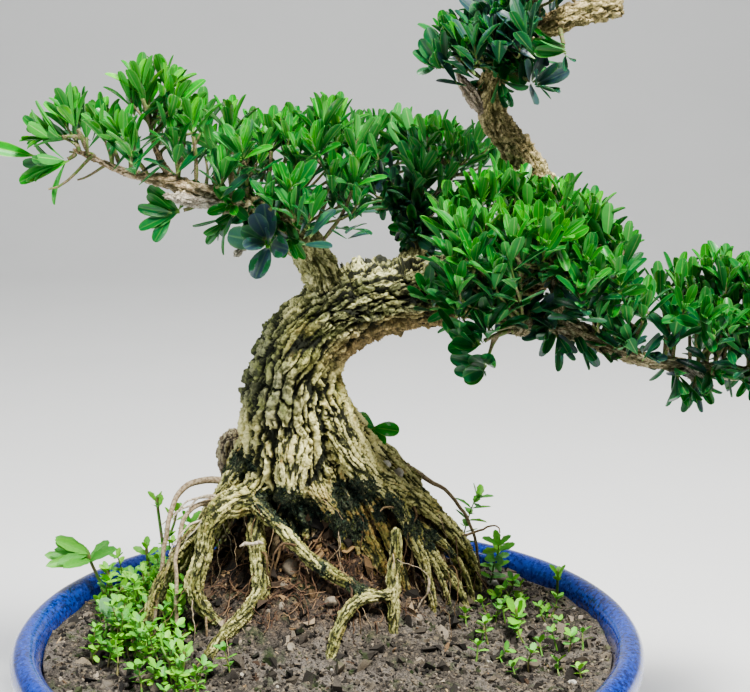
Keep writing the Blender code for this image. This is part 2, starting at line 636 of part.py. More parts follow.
class Growth:
    """One closed solid that grows out of a square ring: stems, forks and leaf blades."""

    CORNERS = ((-1, -1), (1, -1), (1, 1), (-1, 1))

    def __init__(self):
        self.points = []
        self.faces = []

    def ring(self, centre, across, up, half_across, half_up):
        first = len(self.points)
        for a, b in self.CORNERS:
            self.points.append(centre + across * (half_across * a) + up * (half_up * b))
        return list(range(first, first + 4))

    def side(self, low, high, k):
        """Closes side k between two rings. Opposite sides split alike, so thin blades stay sound."""
        a, b = low[k], low[(k + 1) % 4]
        c, d = high[(k + 1) % 4], high[k]
        self.faces += [(a, b, d), (b, c, d)] if k == 2 else [(a, b, c), (a, c, d)]

    def edge_tip(self, ring, left, right):
        """Closes a blade in a short edge across its end."""
        first = len(self.points)
        self.points += [left, right]
        a, b, c, d = ring
        left, right = first, first + 1
        self.faces += [(a, b, right), (a, right, left), (b, c, right), (d, left, right),
                       (c, d, right), (d, a, left)]

    def point_tip(self, ring, point):
        self.points.append(point)
        last = len(self.points) - 1
        self.faces += [(ring[k], ring[(k + 1) % 4], last) for k in range(4)]

    def cap(self, ring):
        a, b, c, d = ring
        self.faces += [(a, d, c), (a, c, b)]


class Shell:
    """A solid with a ball round it, for finding what would cross it."""

    def __init__(self, solid):
        self.tree = BVHTree.FromPolygons(solid.points, solid.faces)
        self.centre = sum(solid.points, Vector()) / len(solid.points)
        self.reach = max((p - self.centre).length for p in solid.points)

    def crosses(self, other):
        if (self.centre - other.centre).length > self.reach + other.reach:
            return False
        return bool(self.tree.overlap(other.tree))


class Blade:
    """One leaf: its direction, its widest section and its tip, from its seat on the stem."""

    def __init__(self, seat, across, outward, along, tilt, swing, roll, length, width):
        direction = outward * math.sin(tilt) + along * math.cos(tilt)
        direction = (direction + across * swing).normalized()
        side = (across - direction * across.dot(direction)).normalized()
        up = direction.cross(side)
        self.across = side * math.cos(roll) + up * math.sin(roll)
        self.up = direction.cross(self.across)
        self.direction = direction
        self.seat = seat
        self.width = width
        self.widest = seat + direction * (length * LEAF_WIDEST)
        self.tip = seat + direction * length - self.up * (TIP_DROOP * length)

    def grow(self, growth, root, spare=0.0):
        half = self.width / 2 + spare
        section = growth.ring(self.widest, self.across, self.up, half, LEAF_THICKNESS / 2 + spare)
        for k in range(4):
            growth.side(root, section, k)
        reach = self.across * (half * LEAF_TIP_WIDTH)
        end = self.tip + self.direction * spare
        growth.edge_tip(section, end - reach, end + reach)

    def shell(self, start):
        """The blade with clearance, from a share of its length out to its tip."""
        growth = Growth()
        at = self.seat.lerp(self.widest, start / LEAF_WIDEST)
        widening = (self.width / 2 - STALK_HALF_WIDTH) * start / LEAF_WIDEST
        half = STALK_HALF_WIDTH + widening + CLEARANCE
        root = growth.ring(at, self.across, self.up, half, LEAF_THICKNESS / 2 + CLEARANCE)
        growth.cap(root)
        self.grow(growth, root, CLEARANCE)
        return Shell(growth)


class Stem:
    """A square stem along a curve. Its first stretch is bare, with a short length to fork from,
    and its last rings carry leaves on their sides."""

    def __init__(self, start, leave, end, arrive, rings, base, across=None, forks=True):
        reach = (end - start).length
        first, last = start + leave * (reach * STEM_RUN), end - arrive * (reach * STEM_RUN)
        leafy = min(LEAFY_LIMIT, rings * WHORL_SPACING / reach)
        bare = 1 - leafy
        fork = bare * STEM_FORK_AT
        shares = [0, fork, fork + STEM_SEAT / reach, bare] if forks else [0, fork, bare]
        self.fork_segment = 1
        self.first_leafy = len(shares) - 1
        shares += [bare + leafy * (k + 1) / rings for k in range(rings)]
        self.rings = rings
        self.branches = {}
        self.centres, self.halves, self.frames = [], [], []
        for t in shares:
            s = 1 - t
            self.centres.append(
                start * s**3 + first * (3 * s * s * t) + last * (3 * s * t * t) + end * t**3)
            self.halves.append(base + (STEM_TIP - base) * t**STEM_TAPER)
        for i, centre in enumerate(self.centres):
            after = self.centres[min(i + 1, len(self.centres) - 1)]
            before = self.centres[max(i - 1, 0)]
            along = leave if i == 0 else (after - before).normalized()
            if across is None:
                across = along.cross(Vector(STEM_START_SIDE)).normalized()
            across = (across - along * across.dot(along)).normalized()
            self.frames.append((across, along.cross(across), along))

    def outward(self, segment, k):
        across, up, _ = self.frames[segment]
        return (-up, across, up, -across)[k]

    def seat(self, segment, k):
        """The middle of side k of a segment, and the direction along that side's lower edge."""
        across, up, _ = self.frames[segment]
        middle = (self.centres[segment] + self.centres[segment + 1]) / 2
        half = (self.halves[segment] + self.halves[segment + 1]) / 2
        edge = (across, up, -across, -up)[k]
        return middle + self.outward(segment, k) * half, edge

    def grow(self, growth, root=None):
        """Adds the stem and all it carries. Root is the ring it starts from, if it is a fork."""
        rings = [root] if root else []
        for i in range(len(rings), len(self.centres)):
            across, up, _ = self.frames[i]
            rings.append(growth.ring(self.centres[i], across, up, self.halves[i], self.halves[i]))
        if root is None:
            growth.cap(rings[0])
        for i, (low, high) in enumerate(zip(rings, rings[1:])):
            for k in range(4):
                carried = self.branches.get((i, k))
                if carried:
                    carried.grow(growth, [low[k], low[(k + 1) % 4], high[(k + 1) % 4], high[k]])
                else:
                    growth.side(low, high, k)
        growth.point_tip(rings[-1], self.centres[-1] + self.frames[-1][2] * BUD_LENGTH)

    def room(self, spare):
        """The stem without what it carries, grown by a clearance."""
        growth = Growth()
        rings = []
        for centre, (across, up, along), half in zip(self.centres, self.frames, self.halves):
            if not rings:
                centre = centre - along * spare
            rings.append(growth.ring(centre, across, up, half + spare, half + spare))
        growth.cap(rings[0])
        for low, high in zip(rings, rings[1:]):
            for k in range(4):
                growth.side(low, high, k)
        growth.point_tip(rings[-1], self.centres[-1] + self.frames[-1][2] * (BUD_LENGTH + spare))
        return growth

    def shell(self):
        return Shell(self.room(CLEARANCE))


def bark_seat(wood_tree, limb, share, towards):
    """Where a line from inside a limb towards a point leaves the bark, and the bark's normal."""
    points = {**LIMBS, **ROOTS}[limb][2]
    path = smooth_path(points, PATH_STEP)
    centre, radius = path[round(share * (len(path) - 1))]
    heading = (towards - centre).normalized()
    hit, normal, _, _ = wood_tree.ray_cast(centre, heading)
    if hit is None or (hit - centre).length > 3 * radius + PATH_STEP:
        hit, normal = centre + heading * radius, heading
    return hit, (normal + heading * SEAT_LEAN).normalized()


def plan_stems(name, wood_tree, limb, share, ends):
    """The main stem of a spray and the forks from it. The stem starts just clear of the bark."""
    forks = len(ends) > 1 or name.startswith(SIDE_SHOOTS)
    target = Vector(ends[0][:3])
    hit, normal = bark_seat(wood_tree, limb, share, target)
    for step in range(SEAT_TRIES):
        start = hit + normal * (GAP + SEAT_STEP * step)
        axis = shoot_axis(start, target)
        stem = Stem(start, normal, target, axis, ends[0][3], STEM_BASE, forks=forks)
        if not Shell(stem.room(0.0)).tree.overlap(wood_tree):
            break
    return [stem] + fork_stems(stem, ends[1:], FORK_BASE)


def fork_stems(stem, ends, base):
    """Stems that fork from the bare length of another, each from the side that faces its end."""
    forks = []
    segment = stem.fork_segment
    for x, y, z, rings in ends:
        target = Vector((x, y, z))
        heading = (target - stem.centres[segment]).normalized()
        free = [k for k in range(4) if (segment, k) not in stem.branches]
        side = max(free, key=lambda k: stem.outward(segment, k).dot(heading))
        seat, edge = stem.seat(segment, side)
        leave = (stem.outward(segment, side) + stem.frames[segment][2] * FORK_RISE).normalized()
        axis = shoot_axis(seat, target)
        fork = Stem(seat, leave, target, axis, rings, base, across=edge, forks=False)
        stem.branches[(segment, side)] = fork
        forks.append(fork)
    return forks


def shoot_axis(start, end):
    """Shoots turn up to the light. One that ends below its start keeps its own heading."""
    heading = (end - start).normalized()
    if heading.z < LEVEL_SHOOT:
        return heading
    return (heading * LIGHT_KEEP + Vector((0, 0, LIGHT_PULL))).normalized()


def add_side_shoot(name, stem, obstacles):
    """A shorter shoot beside the main one of a spray, where there is room for it."""
    segment = stem.fork_segment
    along = stem.frames[-1][2]
    draw = random.Random(f"{name} side")
    for _ in range(SHOOT_TRIES):
        free = [k for k in range(4) if (segment, k) not in stem.branches]
        side = draw.choice(free)
        seat, edge = stem.seat(segment, side)
        spread = stem.outward(segment, side) + edge * draw.uniform(-SHOOT_SKEW, SHOOT_SKEW)
        top = (stem.centres[-1] - seat).dot(along) * draw.uniform(*SHOOT_HEIGHT)
        end = seat + along * max(top, SHOOT_SHORTEST) + spread * draw.uniform(*SHOOT_SPREAD)
        leave = (stem.outward(segment, side) + along * FORK_RISE).normalized()
        axis = shoot_axis(seat, end)
        shoot = Stem(seat, leave, end, axis, 2, SHOOT_BASE, across=edge, forks=False)
        shell = shoot.shell()
        if not any(shell.crosses(other) for other in obstacles):
            stem.branches[(segment, side)] = shoot
            return shoot
    return None


def try_blade(stem, segment, k, attempt, draw, length, width):
    """One blade at a seat, turned and sized by chance, more loosely with each new try."""
    seat, edge = stem.seat(segment, k)
    below_top = len(stem.centres) - 2 - segment
    loose = min(1.0, FIRST_LOOSENESS + attempt / TRIES_TO_LOOSEN)
    lean = TOP_LEAN + LEAN_STEP * below_top + draw.uniform(-LEAN_RANGE, LEAN_RANGE) * loose
    swing = draw.uniform(-TURN_RANGE, TURN_RANGE) * loose
    roll = draw.uniform(-TURN_RANGE, TURN_RANGE) * loose
    size = draw.uniform(*LEAF_SIZES) * (1 - TRY_SHRINK * attempt)
    if below_top == 0:
        size *= TOP_LEAF_SIZE
    widen = draw.uniform(*LEAF_WIDTHS)
    return Blade(seat, edge, stem.outward(segment, k), stem.frames[segment][2],
                 math.radians(lean), swing, roll, length * size, width * size * widen)


def add_leaves(name, number, stem, obstacles, own, sizes=(LEAF_LENGTH, LEAF_WIDTH), whorl=4):
    """Puts leaves on one stem, each turned until it crosses nothing. A whorl is 4 leaves, or 2
    on alternate sides. Own holds two shells of each leaf of the same plant: the blade alone, and
    the whole leaf."""
    for ring in range(stem.rings):
        segment = stem.first_leafy + ring
        for k in range(4) if whorl == 4 else (ring % 2, ring % 2 + 2):
            draw = random.Random(f"{name} {number} {ring} {k}")
            for attempt in range(LEAF_TRIES):
                blade = try_blade(stem, segment, k, attempt, draw, *sizes)
                near, whole = blade.shell(NEAR_SHARE), blade.shell(SEAT_SHARE)
                if any(near.crosses(other) for other, _ in own):
                    continue
                if any(whole.crosses(other) for other in obstacles):
                    continue
                stem.branches[(segment, k)] = blade
                own.append((near, whole))
                break


def make_sprays(wood_tree, obstacles, material):
    """Every spray of boxwood. All the stems are planned first, then leaves fill the room."""
    planned = {name: plan_stems(name, wood_tree, *row) for name, row in SPRAYS.items()}
    stem_shells = {name: [stem.shell() for stem in stems] for name, stems in planned.items()}
    for name, stems in planned.items():
        if not name.startswith(SIDE_SHOOTS):
            continue
        others = obstacles + stem_shells[name][1:]
        for other in planned:
            if other != name:
                others += stem_shells[other]
        shoot = add_side_shoot(name, stems[0], others)
        if shoot:
            stems.append(shoot)
            stem_shells[name].append(shoot.shell())
    leaf_shells = {name: [] for name in planned}
    for number in range(max(len(stems) for stems in planned.values())):
        for name, stems in planned.items():
            if number >= len(stems):
                continue
            others = list(obstacles)
            for other in planned:
                if other != name:
                    others += stem_shells[other] + [whole for _, whole in leaf_shells[other]]
            others += [shell for i, shell in enumerate(stem_shells[name]) if i != number]
            add_leaves(name, number, stems[number], others, leaf_shells[name])
    for name, stems in planned.items():
        growth = Growth()
        stems[0].grow(growth)
        place("spray_" + name, growth.points, growth.faces, material)


def plan_weeds():
    """The stems of every weed. The foot of each stands a little way down in the soil."""
    planned = {}
    for name, ((x, y), ends, _, _) in WEEDS.items():
        start = Vector((x, y, ground(x, y) - WEED_FOOT_DEPTH))
        end = Vector(ends[0][:3])
        axis = shoot_axis(start, end)
        stems = [Stem(start, Vector((0, 0, 1)), end, axis, ends[0][3], WEED_STEM)]
        stems += fork_stems(stems[0], ends[1:], WEED_FORK)
        planned[name] = stems
    return planned


def make_weeds(planned, obstacles, material):
    """Small weeds, each with its own size of leaf."""
    for name, stems in planned.items():
        length, width = WEEDS[name][2:]
        shells = [stem.shell() for stem in stems]
        own = []
        for number, stem in enumerate(stems):
            others = obstacles + [shell for i, shell in enumerate(shells) if i != number]
            add_leaves(name, number, stem, others, own, (length, width), whorl=2)
        growth = Growth()
        stems[0].grow(growth)
        place(name, growth.points, growth.faces, material)


def main():
    clear_scene()
    finishes = {name: finish(name) for name in FINISHES}
    wood = make_wood(finishes["bark"])
    weeds = plan_weeds()
    soil = make_soil(wood, weeds, finishes["earth"])
    pot = make_pot(finishes["blue_glaze"])
    make_screen("drain_screen_left", -1, finishes["net_black"])
    make_screen("drain_screen_right", 1, finishes["net_black"])
    obstacles = [Shell(Solid(obj)) for obj in (wood, soil, pot)]
    make_sprays(obstacles[0].tree, obstacles, finishes["leaf_green"])
    make_weeds(weeds, obstacles, finishes["weed_green"])
    bpy.data.materials.remove(finishes["helper"])


main()
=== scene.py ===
"""The looks of a boxwood bonsai in a round glazed pot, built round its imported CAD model.

Shapes are worked out in millimetres and turned to metres where a finished piece is placed. X runs
to the right, Y away from the viewer, Z up, and the origin is the centre of the pot's foot.
"""

import json
import math
import random

import bmesh
import bpy
import numpy as np
from mathutils import Euler, Matrix, Vector, noise

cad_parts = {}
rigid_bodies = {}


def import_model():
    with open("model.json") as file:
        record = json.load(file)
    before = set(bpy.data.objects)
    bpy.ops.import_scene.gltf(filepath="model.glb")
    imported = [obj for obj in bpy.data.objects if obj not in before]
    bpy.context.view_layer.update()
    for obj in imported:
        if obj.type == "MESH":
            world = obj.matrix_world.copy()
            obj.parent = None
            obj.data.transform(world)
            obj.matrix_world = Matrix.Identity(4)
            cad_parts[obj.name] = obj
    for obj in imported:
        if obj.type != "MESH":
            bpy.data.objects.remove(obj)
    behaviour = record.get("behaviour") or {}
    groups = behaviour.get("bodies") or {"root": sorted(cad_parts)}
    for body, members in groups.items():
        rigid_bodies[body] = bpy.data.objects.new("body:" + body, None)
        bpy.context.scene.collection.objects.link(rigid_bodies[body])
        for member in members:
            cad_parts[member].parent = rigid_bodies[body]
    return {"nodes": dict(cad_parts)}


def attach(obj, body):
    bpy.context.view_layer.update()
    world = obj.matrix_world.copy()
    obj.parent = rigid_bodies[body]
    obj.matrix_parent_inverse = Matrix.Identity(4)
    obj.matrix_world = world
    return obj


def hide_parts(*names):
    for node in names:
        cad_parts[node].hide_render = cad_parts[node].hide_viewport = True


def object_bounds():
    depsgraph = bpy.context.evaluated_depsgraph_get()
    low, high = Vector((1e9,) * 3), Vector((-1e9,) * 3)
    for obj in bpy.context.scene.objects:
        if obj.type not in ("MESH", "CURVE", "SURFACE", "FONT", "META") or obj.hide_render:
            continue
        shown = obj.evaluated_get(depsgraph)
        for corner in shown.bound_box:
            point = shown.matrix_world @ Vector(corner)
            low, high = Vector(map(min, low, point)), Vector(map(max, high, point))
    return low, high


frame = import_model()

MM = 0.001
CAD_BOX = [list(corner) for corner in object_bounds()]

# Viewpoint
CAMERA_PLACE = (22.5, -850.0, 426.0)
CAMERA_TILT = 76.2
CAMERA_LENS = 90.67

# Pot
RIM_HEIGHT = 78.0
RIM_RADIUS = 151.5
LIP_WIDTH = 15.0
FOOT_RADIUS = 92.0
FLOOR_TOP = 9.0
POT_SIDES = 144
DRAIN_HOLE_RADIUS = 9.0
DRAIN_HOLE_OFFSET = 48.0

# Soil
SOIL_EDGE_HEIGHT = 69.0
MOUND_HEIGHT = 54.0
MOUND_CENTRE = (-8.0, 30.0)
MOUND_RADIUS = 45.0
MOUND_SHARPNESS = 2.4
SOIL_LUMPS = ((2.2, 0.05, 1.0), (1.1, 0.13, 5.0))
ROOT_BALL_HEIGHT = 30.0
ROOT_BALL_CENTRE = (6.0, 32.0)
ROOT_BALL_RADII = (43.0, 23.0)
SOIL_RINGS = 84
SOIL_SECTORS = 360

# Wood
LIMB_STEP = 2.0
WOOD_VOXEL = 0.7

# The pieces that the wood is cut into, each between two heights.
WOOD_PIECES = (("bark_top", 238, 999), ("bark_trunk", 174, 238), ("bark_base", 120, 174),
               ("bark_roots", -999, 120))

# Each limb of the tree: the points of its middle line with the radius at each, as (x, y, z,
# radius).
LIMBS = {
    "trunk": [
        (-9, 32, 108, 22), (-11, 28, 133, 26), (-15, 22, 155, 25.5), (-17, 17, 174, 24),
        (-17, 13, 193, 22), (-12, 10, 211, 20), (0, 8, 227, 18.7), (17, 8, 236, 17.7),
        (37, 10, 239, 16), (59, 14, 241, 14), (82, 20, 242, 11.5), (100, 25, 249, 9.5),
        (108, 26, 265, 8), (101, 22, 287, 7.2), (87, 18, 307, 6.9), (77, 14, 321, 6.5),
        (75, 12, 335, 6), (82, 11, 349, 5.7), (95, 11, 360, 5.6), (112, 10, 368, 5.4),
        (131, 8, 372, 5)],
    "left_branch": [
        (4, 8, 236, 10), (-4, 2, 255, 8.6), (-12, -4, 269, 7.3), (-24, -8, 280, 6.3),
        (-38, -12, 285, 6.1), (-53, -14, 290, 5.0), (-65, -15, 295, 3.7), (-77, -17, 298, 2.7),
        (-90, -19, 302, 1.9), (-101, -20, 307, 1.5), (-110, -22, 312, 1.1)],
    "left_fork": [
        (-63, -15, 295, 2.2), (-71, -14, 302, 1.9), (-75, -12, 310, 1.6), (-77, -12, 319, 1.1)],
    "left_jin": [
        (-42, -13, 287, 3.2), (-50, -17, 287, 2.9), (-58, -19, 288, 2.7), (-65, -20, 290, 2.3),
        (-71, -21, 291, 1.4)],
    "left_snag": [(-30, -10, 280, 3.4), (-35, -16, 270, 2.4), (-40, -18, 263, 1.5)],
    "back_branch": [
        (34, 24, 240, 8.5), (42, 40, 252, 6.4), (43, 52, 261, 5.3), (37, 66, 271, 4.4),
        (31, 80, 278, 3.5), (24, 92, 287, 2.2)],
    "back_fork": [(42, 54, 262, 4), (50, 64, 272, 3.2), (58, 74, 282, 2.2)],
    "right_branch": [
        (78, 17, 240, 9), (92, 5, 231, 7.2), (110, -4, 227, 5.3), (126, -8, 221, 4.3),
        (144, -10, 214, 3.8), (167, -10, 210, 3.5), (190, -10, 207, 3.2), (213, -10, 211, 2.4),
        (226, -10, 218, 1.3)],
    "knob": [(82, 12, 240, 7), (86, -2, 236, 6.8), (88, -13, 232, 6.2), (89, -20, 229, 3.6)],
    "heart_fork": [(104, -2, 228, 4.5), (106, -8, 240, 3.4), (104, -12, 252, 2.4)],
    "far_stub": [(166, -10, 210, 4), (172, -13, 204, 3.4), (176, -15, 200, 2.2)],
    "far_snag": [(194, -10, 207, 3.8), (200, -12, 202, 3.2), (205, -14, 200, 1.8)],
    "top_jin": [(76, 14, 322, 4.4), (68, 10, 330, 3.4), (62, 8, 338, 2.4), (60, 7, 343, 1.2)],
    "crown_leader": [(96, 11, 360, 4.6), (93, 8, 372, 3.2), (88, 4, 382, 1.8)],
}

# The roots, in the same form.
ROOTS = {
    "crown_root": [
        (-17, 18, 162, 14), (-27, 12, 151, 10), (-37, 4, 142, 7.4), (-48, -4, 140, 5.6)],
    "arch_root": [
        (-37, 4, 143, 6.6), (-48, -4, 141, 5.7), (-56, -8, 132, 4.4), (-59, -10, 117, 4.3),
        (-63, -12, 103, 4.5), (-58, -14, 93, 3.5), (-50, -16, 84, 2.8), (-46, -17, 72, 2.2)],
    "inner_root": [
        (-31, 8, 142, 5.5), (-34, 0, 127, 4.2), (-32, -8, 110, 4.3), (-31, -12, 102, 4.2),
        (-36, -18, 95, 3.8), (-44, -25, 88, 3.5), (-52, -32, 81, 3), (-59, -39, 70, 2.2)],
    "cross_root": [
        (-37, 2, 143, 4.8), (-22, -6, 130, 3.4), (-10, -12, 119, 3.2), (1, -16, 112, 3.3),
        (9, -18, 108, 3), (16, -20, 104, 2.8), (24, -20, 102, 2.8), (31, -17, 103, 2.4)],
    "stub_root": [
        (33, -12, 131, 2.7), (32, -13, 117, 3.1), (31, -16, 104, 3.4), (31, -19, 92, 2.8),
        (30, -22, 76, 2)],
    "side_root": [
        (28, -19, 102, 2.7), (20, -22, 102, 2.8), (14, -25, 101, 2.8), (9, -30, 97, 3),
        (5, -36, 90, 2.8), (2, -41, 80, 2.5), (0, -45, 68, 2)],
    "ridge_root": [
        (-8, 14, 200, 13), (1, 11, 181, 11.5), (10, 7, 165, 8.8), (20, 4, 153, 6.8),
        (31, 5, 147, 5.5), (45, 12, 137, 4.6), (58, 22, 122, 4), (66, 32, 108, 3.6),
        (72, 44, 90, 3), (75, 52, 72, 2.3)],
    "shoulder_root": [
        (2, 26, 176, 12), (15, 26, 160, 9.5), (30, 28, 148, 7), (45, 33, 132, 5.4),
        (57, 42, 112, 4.6), (66, 52, 92, 3.7), (70, 60, 72, 2.6)],
    "flank_root": [
        (22, 4, 152, 5.5), (32, 1, 142, 3.9), (37, 0, 133, 3.2), (41, 0, 121, 2.9),
        (46, 2, 110, 2.5), (50, 3, 92, 2.1), (52, 3, 76, 1.7)],
    "toe_root": [
        (36, 6, 134, 4.4), (46, 10, 118, 3), (54, 14, 105, 2.6), (63, 18, 92, 2.3),
        (69, 21, 74, 1.8)],
    "heart_root": [
        (0, 14, 156, 12), (6, 11, 145, 9), (11, 9, 135, 7.6), (16, 8, 123, 6.6),
        (22, 6, 111, 5.9), (26, 5, 97, 4.8), (29, 4, 80, 3.4)],
    "claw_root": [
        (-10, 10, 156, 9), (-4, 2, 146, 5.6), (2, 0, 137, 3.9), (6, 2, 125, 3),
        (9, 4, 108, 2.2)],
    "front_comb": [
        (-14, 10, 190, 10), (-16, 0, 170, 9), (-17, -3, 155, 7.4), (-18, -2, 144, 5.2)],
    "left_flare": [
        (-24, 22, 184, 11), (-34, 20, 164, 9.6), (-44, 20, 146, 7.4), (-53, 22, 132, 5.8),
        (-61, 22, 120, 4.8), (-68, 22, 109, 4), (-75, 21, 96, 3.3), (-81, 19, 76, 2.3)],
    "left_stake": [
        (-56, 6, 130, 3.8), (-66, 2, 122, 3.2), (-74, -2, 112, 2.7), (-80, -6, 103, 2.5),
        (-84, -10, 93, 2.4), (-87, -14, 74, 2)],
    "hump_root": [
        (4, 34, 166, 8), (12, 38, 162, 5.4), (21, 44, 156, 4.4), (30, 48, 150, 3.7),
        (37, 50, 143, 2.6), (46, 50, 138, 1.7)],
    "rear_left": [
        (-20, 36, 166, 13), (-32, 48, 142, 8.4), (-44, 60, 118, 6), (-53, 70, 94, 4.4),
        (-60, 78, 70, 3)],
    "rear_mid": [
        (-8, 42, 164, 13), (-6, 58, 136, 8), (-2, 72, 110, 5.6), (2, 82, 90, 4.2),
        (4, 90, 70, 3)],
    "rear_right": [
        (8, 40, 158, 11), (22, 54, 134, 7), (36, 66, 110, 5), (46, 76, 88, 3.8),
        (52, 84, 70, 2.6)],
    "root_stump": [
        (-38, 52, 112, 3.8), (-46, 60, 124, 3.9), (-50, 62, 136, 5.2), (-50, 62, 147, 6.9),
        (-49, 62, 154, 6.2), (-49, 62, 158, 3)],
}

# Neighbouring roots that have a slimmer one between them.
ROOT_PAIRS = (
    ("ridge_root", "shoulder_root"), ("ridge_root", "toe_root"), ("toe_root", "flank_root"),
    ("flank_root", "heart_root"), ("shoulder_root", "rear_right"), ("rear_right", "rear_mid"),
    ("rear_mid", "rear_left"), ("rear_left", "left_flare"), ("left_flare", "left_stake"),
    ("heart_root", "claw_root"))
FILLER_SHARE = 0.62

# Roots too thin to carry bark.
THIN_ROOTS = {
    "thin_arch": [
        (-38, 16, 143, 3), (-46, 14, 146, 2.1), (-55, 14, 148, 1.8), (-64, 12, 147, 1.6),
        (-71, 8, 143, 1.4), (-75, 3, 133, 1.2), (-78, -1, 116, 1.1), (-82, -4, 92, 1),
        (-84, -5, 70, 0.9)],
    "thin_hook": [
        (-42, 6, 140, 2.4), (-52, 5, 141, 1.5), (-61, 2, 139, 1.2), (-68, -2, 133, 1.1),
        (-71, -8, 120, 1), (-71, -16, 98, 1), (-71, -20, 70, 0.9)],
    "hump_tail": [
        (37, 50, 143, 2.2), (46, 50, 138, 1.4), (57, 50, 131, 1.0), (66, 52, 120, 0.9),
        (72, 57, 106, 0.8), (76, 64, 86, 0.7), (78, 70, 68, 0.6)],
}

# Where dark moss covers the wood, as (x, y, z, radius).
MOSS_PATCHES = [
    (-20, -7, 143, 10), (-13, 0, 134, 12), (-27, 1, 140, 9), (-36, 4, 134, 7),
    (18, 2, 147, 9), (29, -1, 137, 9), (40, 3, 129, 8), (49, 10, 119, 7), (8, 4, 143, 9),
    (2, 0, 130, 10), (14, 2, 128, 7), (-40, 14, 156, 9), (-46, 20, 148, 7), (14, -18, 105, 7),
    (56, 20, 109, 6), (-2, -14, 113, 5)]


# Node trees


def operator(operation, reflected=False):
    """A method that turns a Python operator into a Math node."""
    def apply(self, other=None):
        values = [self] if other is None else [self, other]
        return self.tree.math(operation, *(reversed(values) if reflected else values))
    return apply


class Value:
    """A node's output. Python's operators on it add Math nodes."""

    def __init__(self, tree, socket):
        self.tree = tree
        self.socket = socket

    __add__ = operator("ADD")
    __radd__ = operator("ADD", reflected=True)
    __sub__ = operator("SUBTRACT")
    __rsub__ = operator("SUBTRACT", reflected=True)
    __mul__ = operator("MULTIPLY")
    __rmul__ = operator("MULTIPLY", reflected=True)
    __gt__ = operator("GREATER_THAN")
    __abs__ = operator("ABSOLUTE")


class Node:
    """A node, whose outputs are taken by name or number."""

    def __init__(self, tree, node):
        self.tree = tree
        self.node = node

    def __getitem__(self, key):
        return Value(self.tree, self.node.outputs[key])


class Tree:
    """A node tree for a material or a shape."""

    def __init__(self, tree):
        self.tree = tree

    def add(self, kind, settings=(), inputs=()):
        """Adds a node: its settings are set first, and then its sockets get values or links."""
        node = self.tree.nodes.new(kind)
        for name, value in dict(settings).items():
            if name == "stops":
                self.set_stops(node.color_ramp, value)
            else:
                setattr(node, name, value)
        for key, value in dict(inputs).items():
            if isinstance(value, Value):
                self.tree.links.new(value.socket, node.inputs[key])
            else:
                node.inputs[key].default_value = value
        return Node(self, node)

    @staticmethod
    def set_stops(ramp, stops):
        (first, start), *middle, (last, end) = stops
        ramp.elements[0].position = first
        ramp.elements[0].color = (*start, 1)
        ramp.elements[1].position = last
        ramp.elements[1].color = (*end, 1)
        for position, colour in middle:
            ramp.elements.new(position).color = (*colour, 1)

    def math(self, operation, *values):
        return self.add("ShaderNodeMath", {"operation": operation}, dict(enumerate(values)))[0]

    def vector(self, operation, *values, scale=None):
        inputs = dict(enumerate(values))
        if scale is not None:
            inputs["Scale"] = scale
        return self.add("ShaderNodeVectorMath", {"operation": operation}, inputs)[0]

    def noise(self, place, scale, detail=2.0, output="Fac", **settings):
        inputs = {"Vector": place, "Scale": scale, "Detail": detail}
        return self.add("ShaderNodeTexNoise", settings, inputs)[output]

    def cells(self, place, scale, output="Distance", **settings):
        return self.add("ShaderNodeTexVoronoi", settings, {"Vector": place, "Scale": scale})[output]

    def band(self, value, low, high, start=0.0, end=1.0):
        """Goes smoothly from start to end as the value goes from low to high."""
        inputs = {"Value": value, "From Min": low, "From Max": high, "To Min": start, "To Max": end}
        return self.add("ShaderNodeMapRange", {"interpolation_type": "SMOOTHSTEP"}, inputs)[0]

    def stretch(self, place, x, y, z):
        return self.vector("MULTIPLY", place, (x, y, z))

    def parts(self, vector):
        """A vector's X, Y and Z."""
        return self.add("ShaderNodeSeparateXYZ", {}, {"Vector": vector})

    def mix(self, factor, low, high, blend="MIX"):
        """A colour between two, or one laid on the other."""
        settings = {"data_type": "RGBA", "blend_type": blend}
        low = low if isinstance(low, Value) else (*low, 1)
        high = high if isinstance(high, Value) else (*high, 1)
        return self.add("ShaderNodeMix", settings, {0: factor, 6: low, 7: high})[2]

    def fade(self, value, low, high, first, second):
        """A colour that goes from the first to the second as the value goes from low to high."""
        return self.mix(self.band(value, low, high), first, second)

    def darken(self, factor, colour, by):
        return self.mix(factor, colour, by, "MULTIPLY")

    def ramp(self, value, *stops):
        return self.add("ShaderNodeValToRGB", {"stops": stops}, {"Fac": value})["Color"]


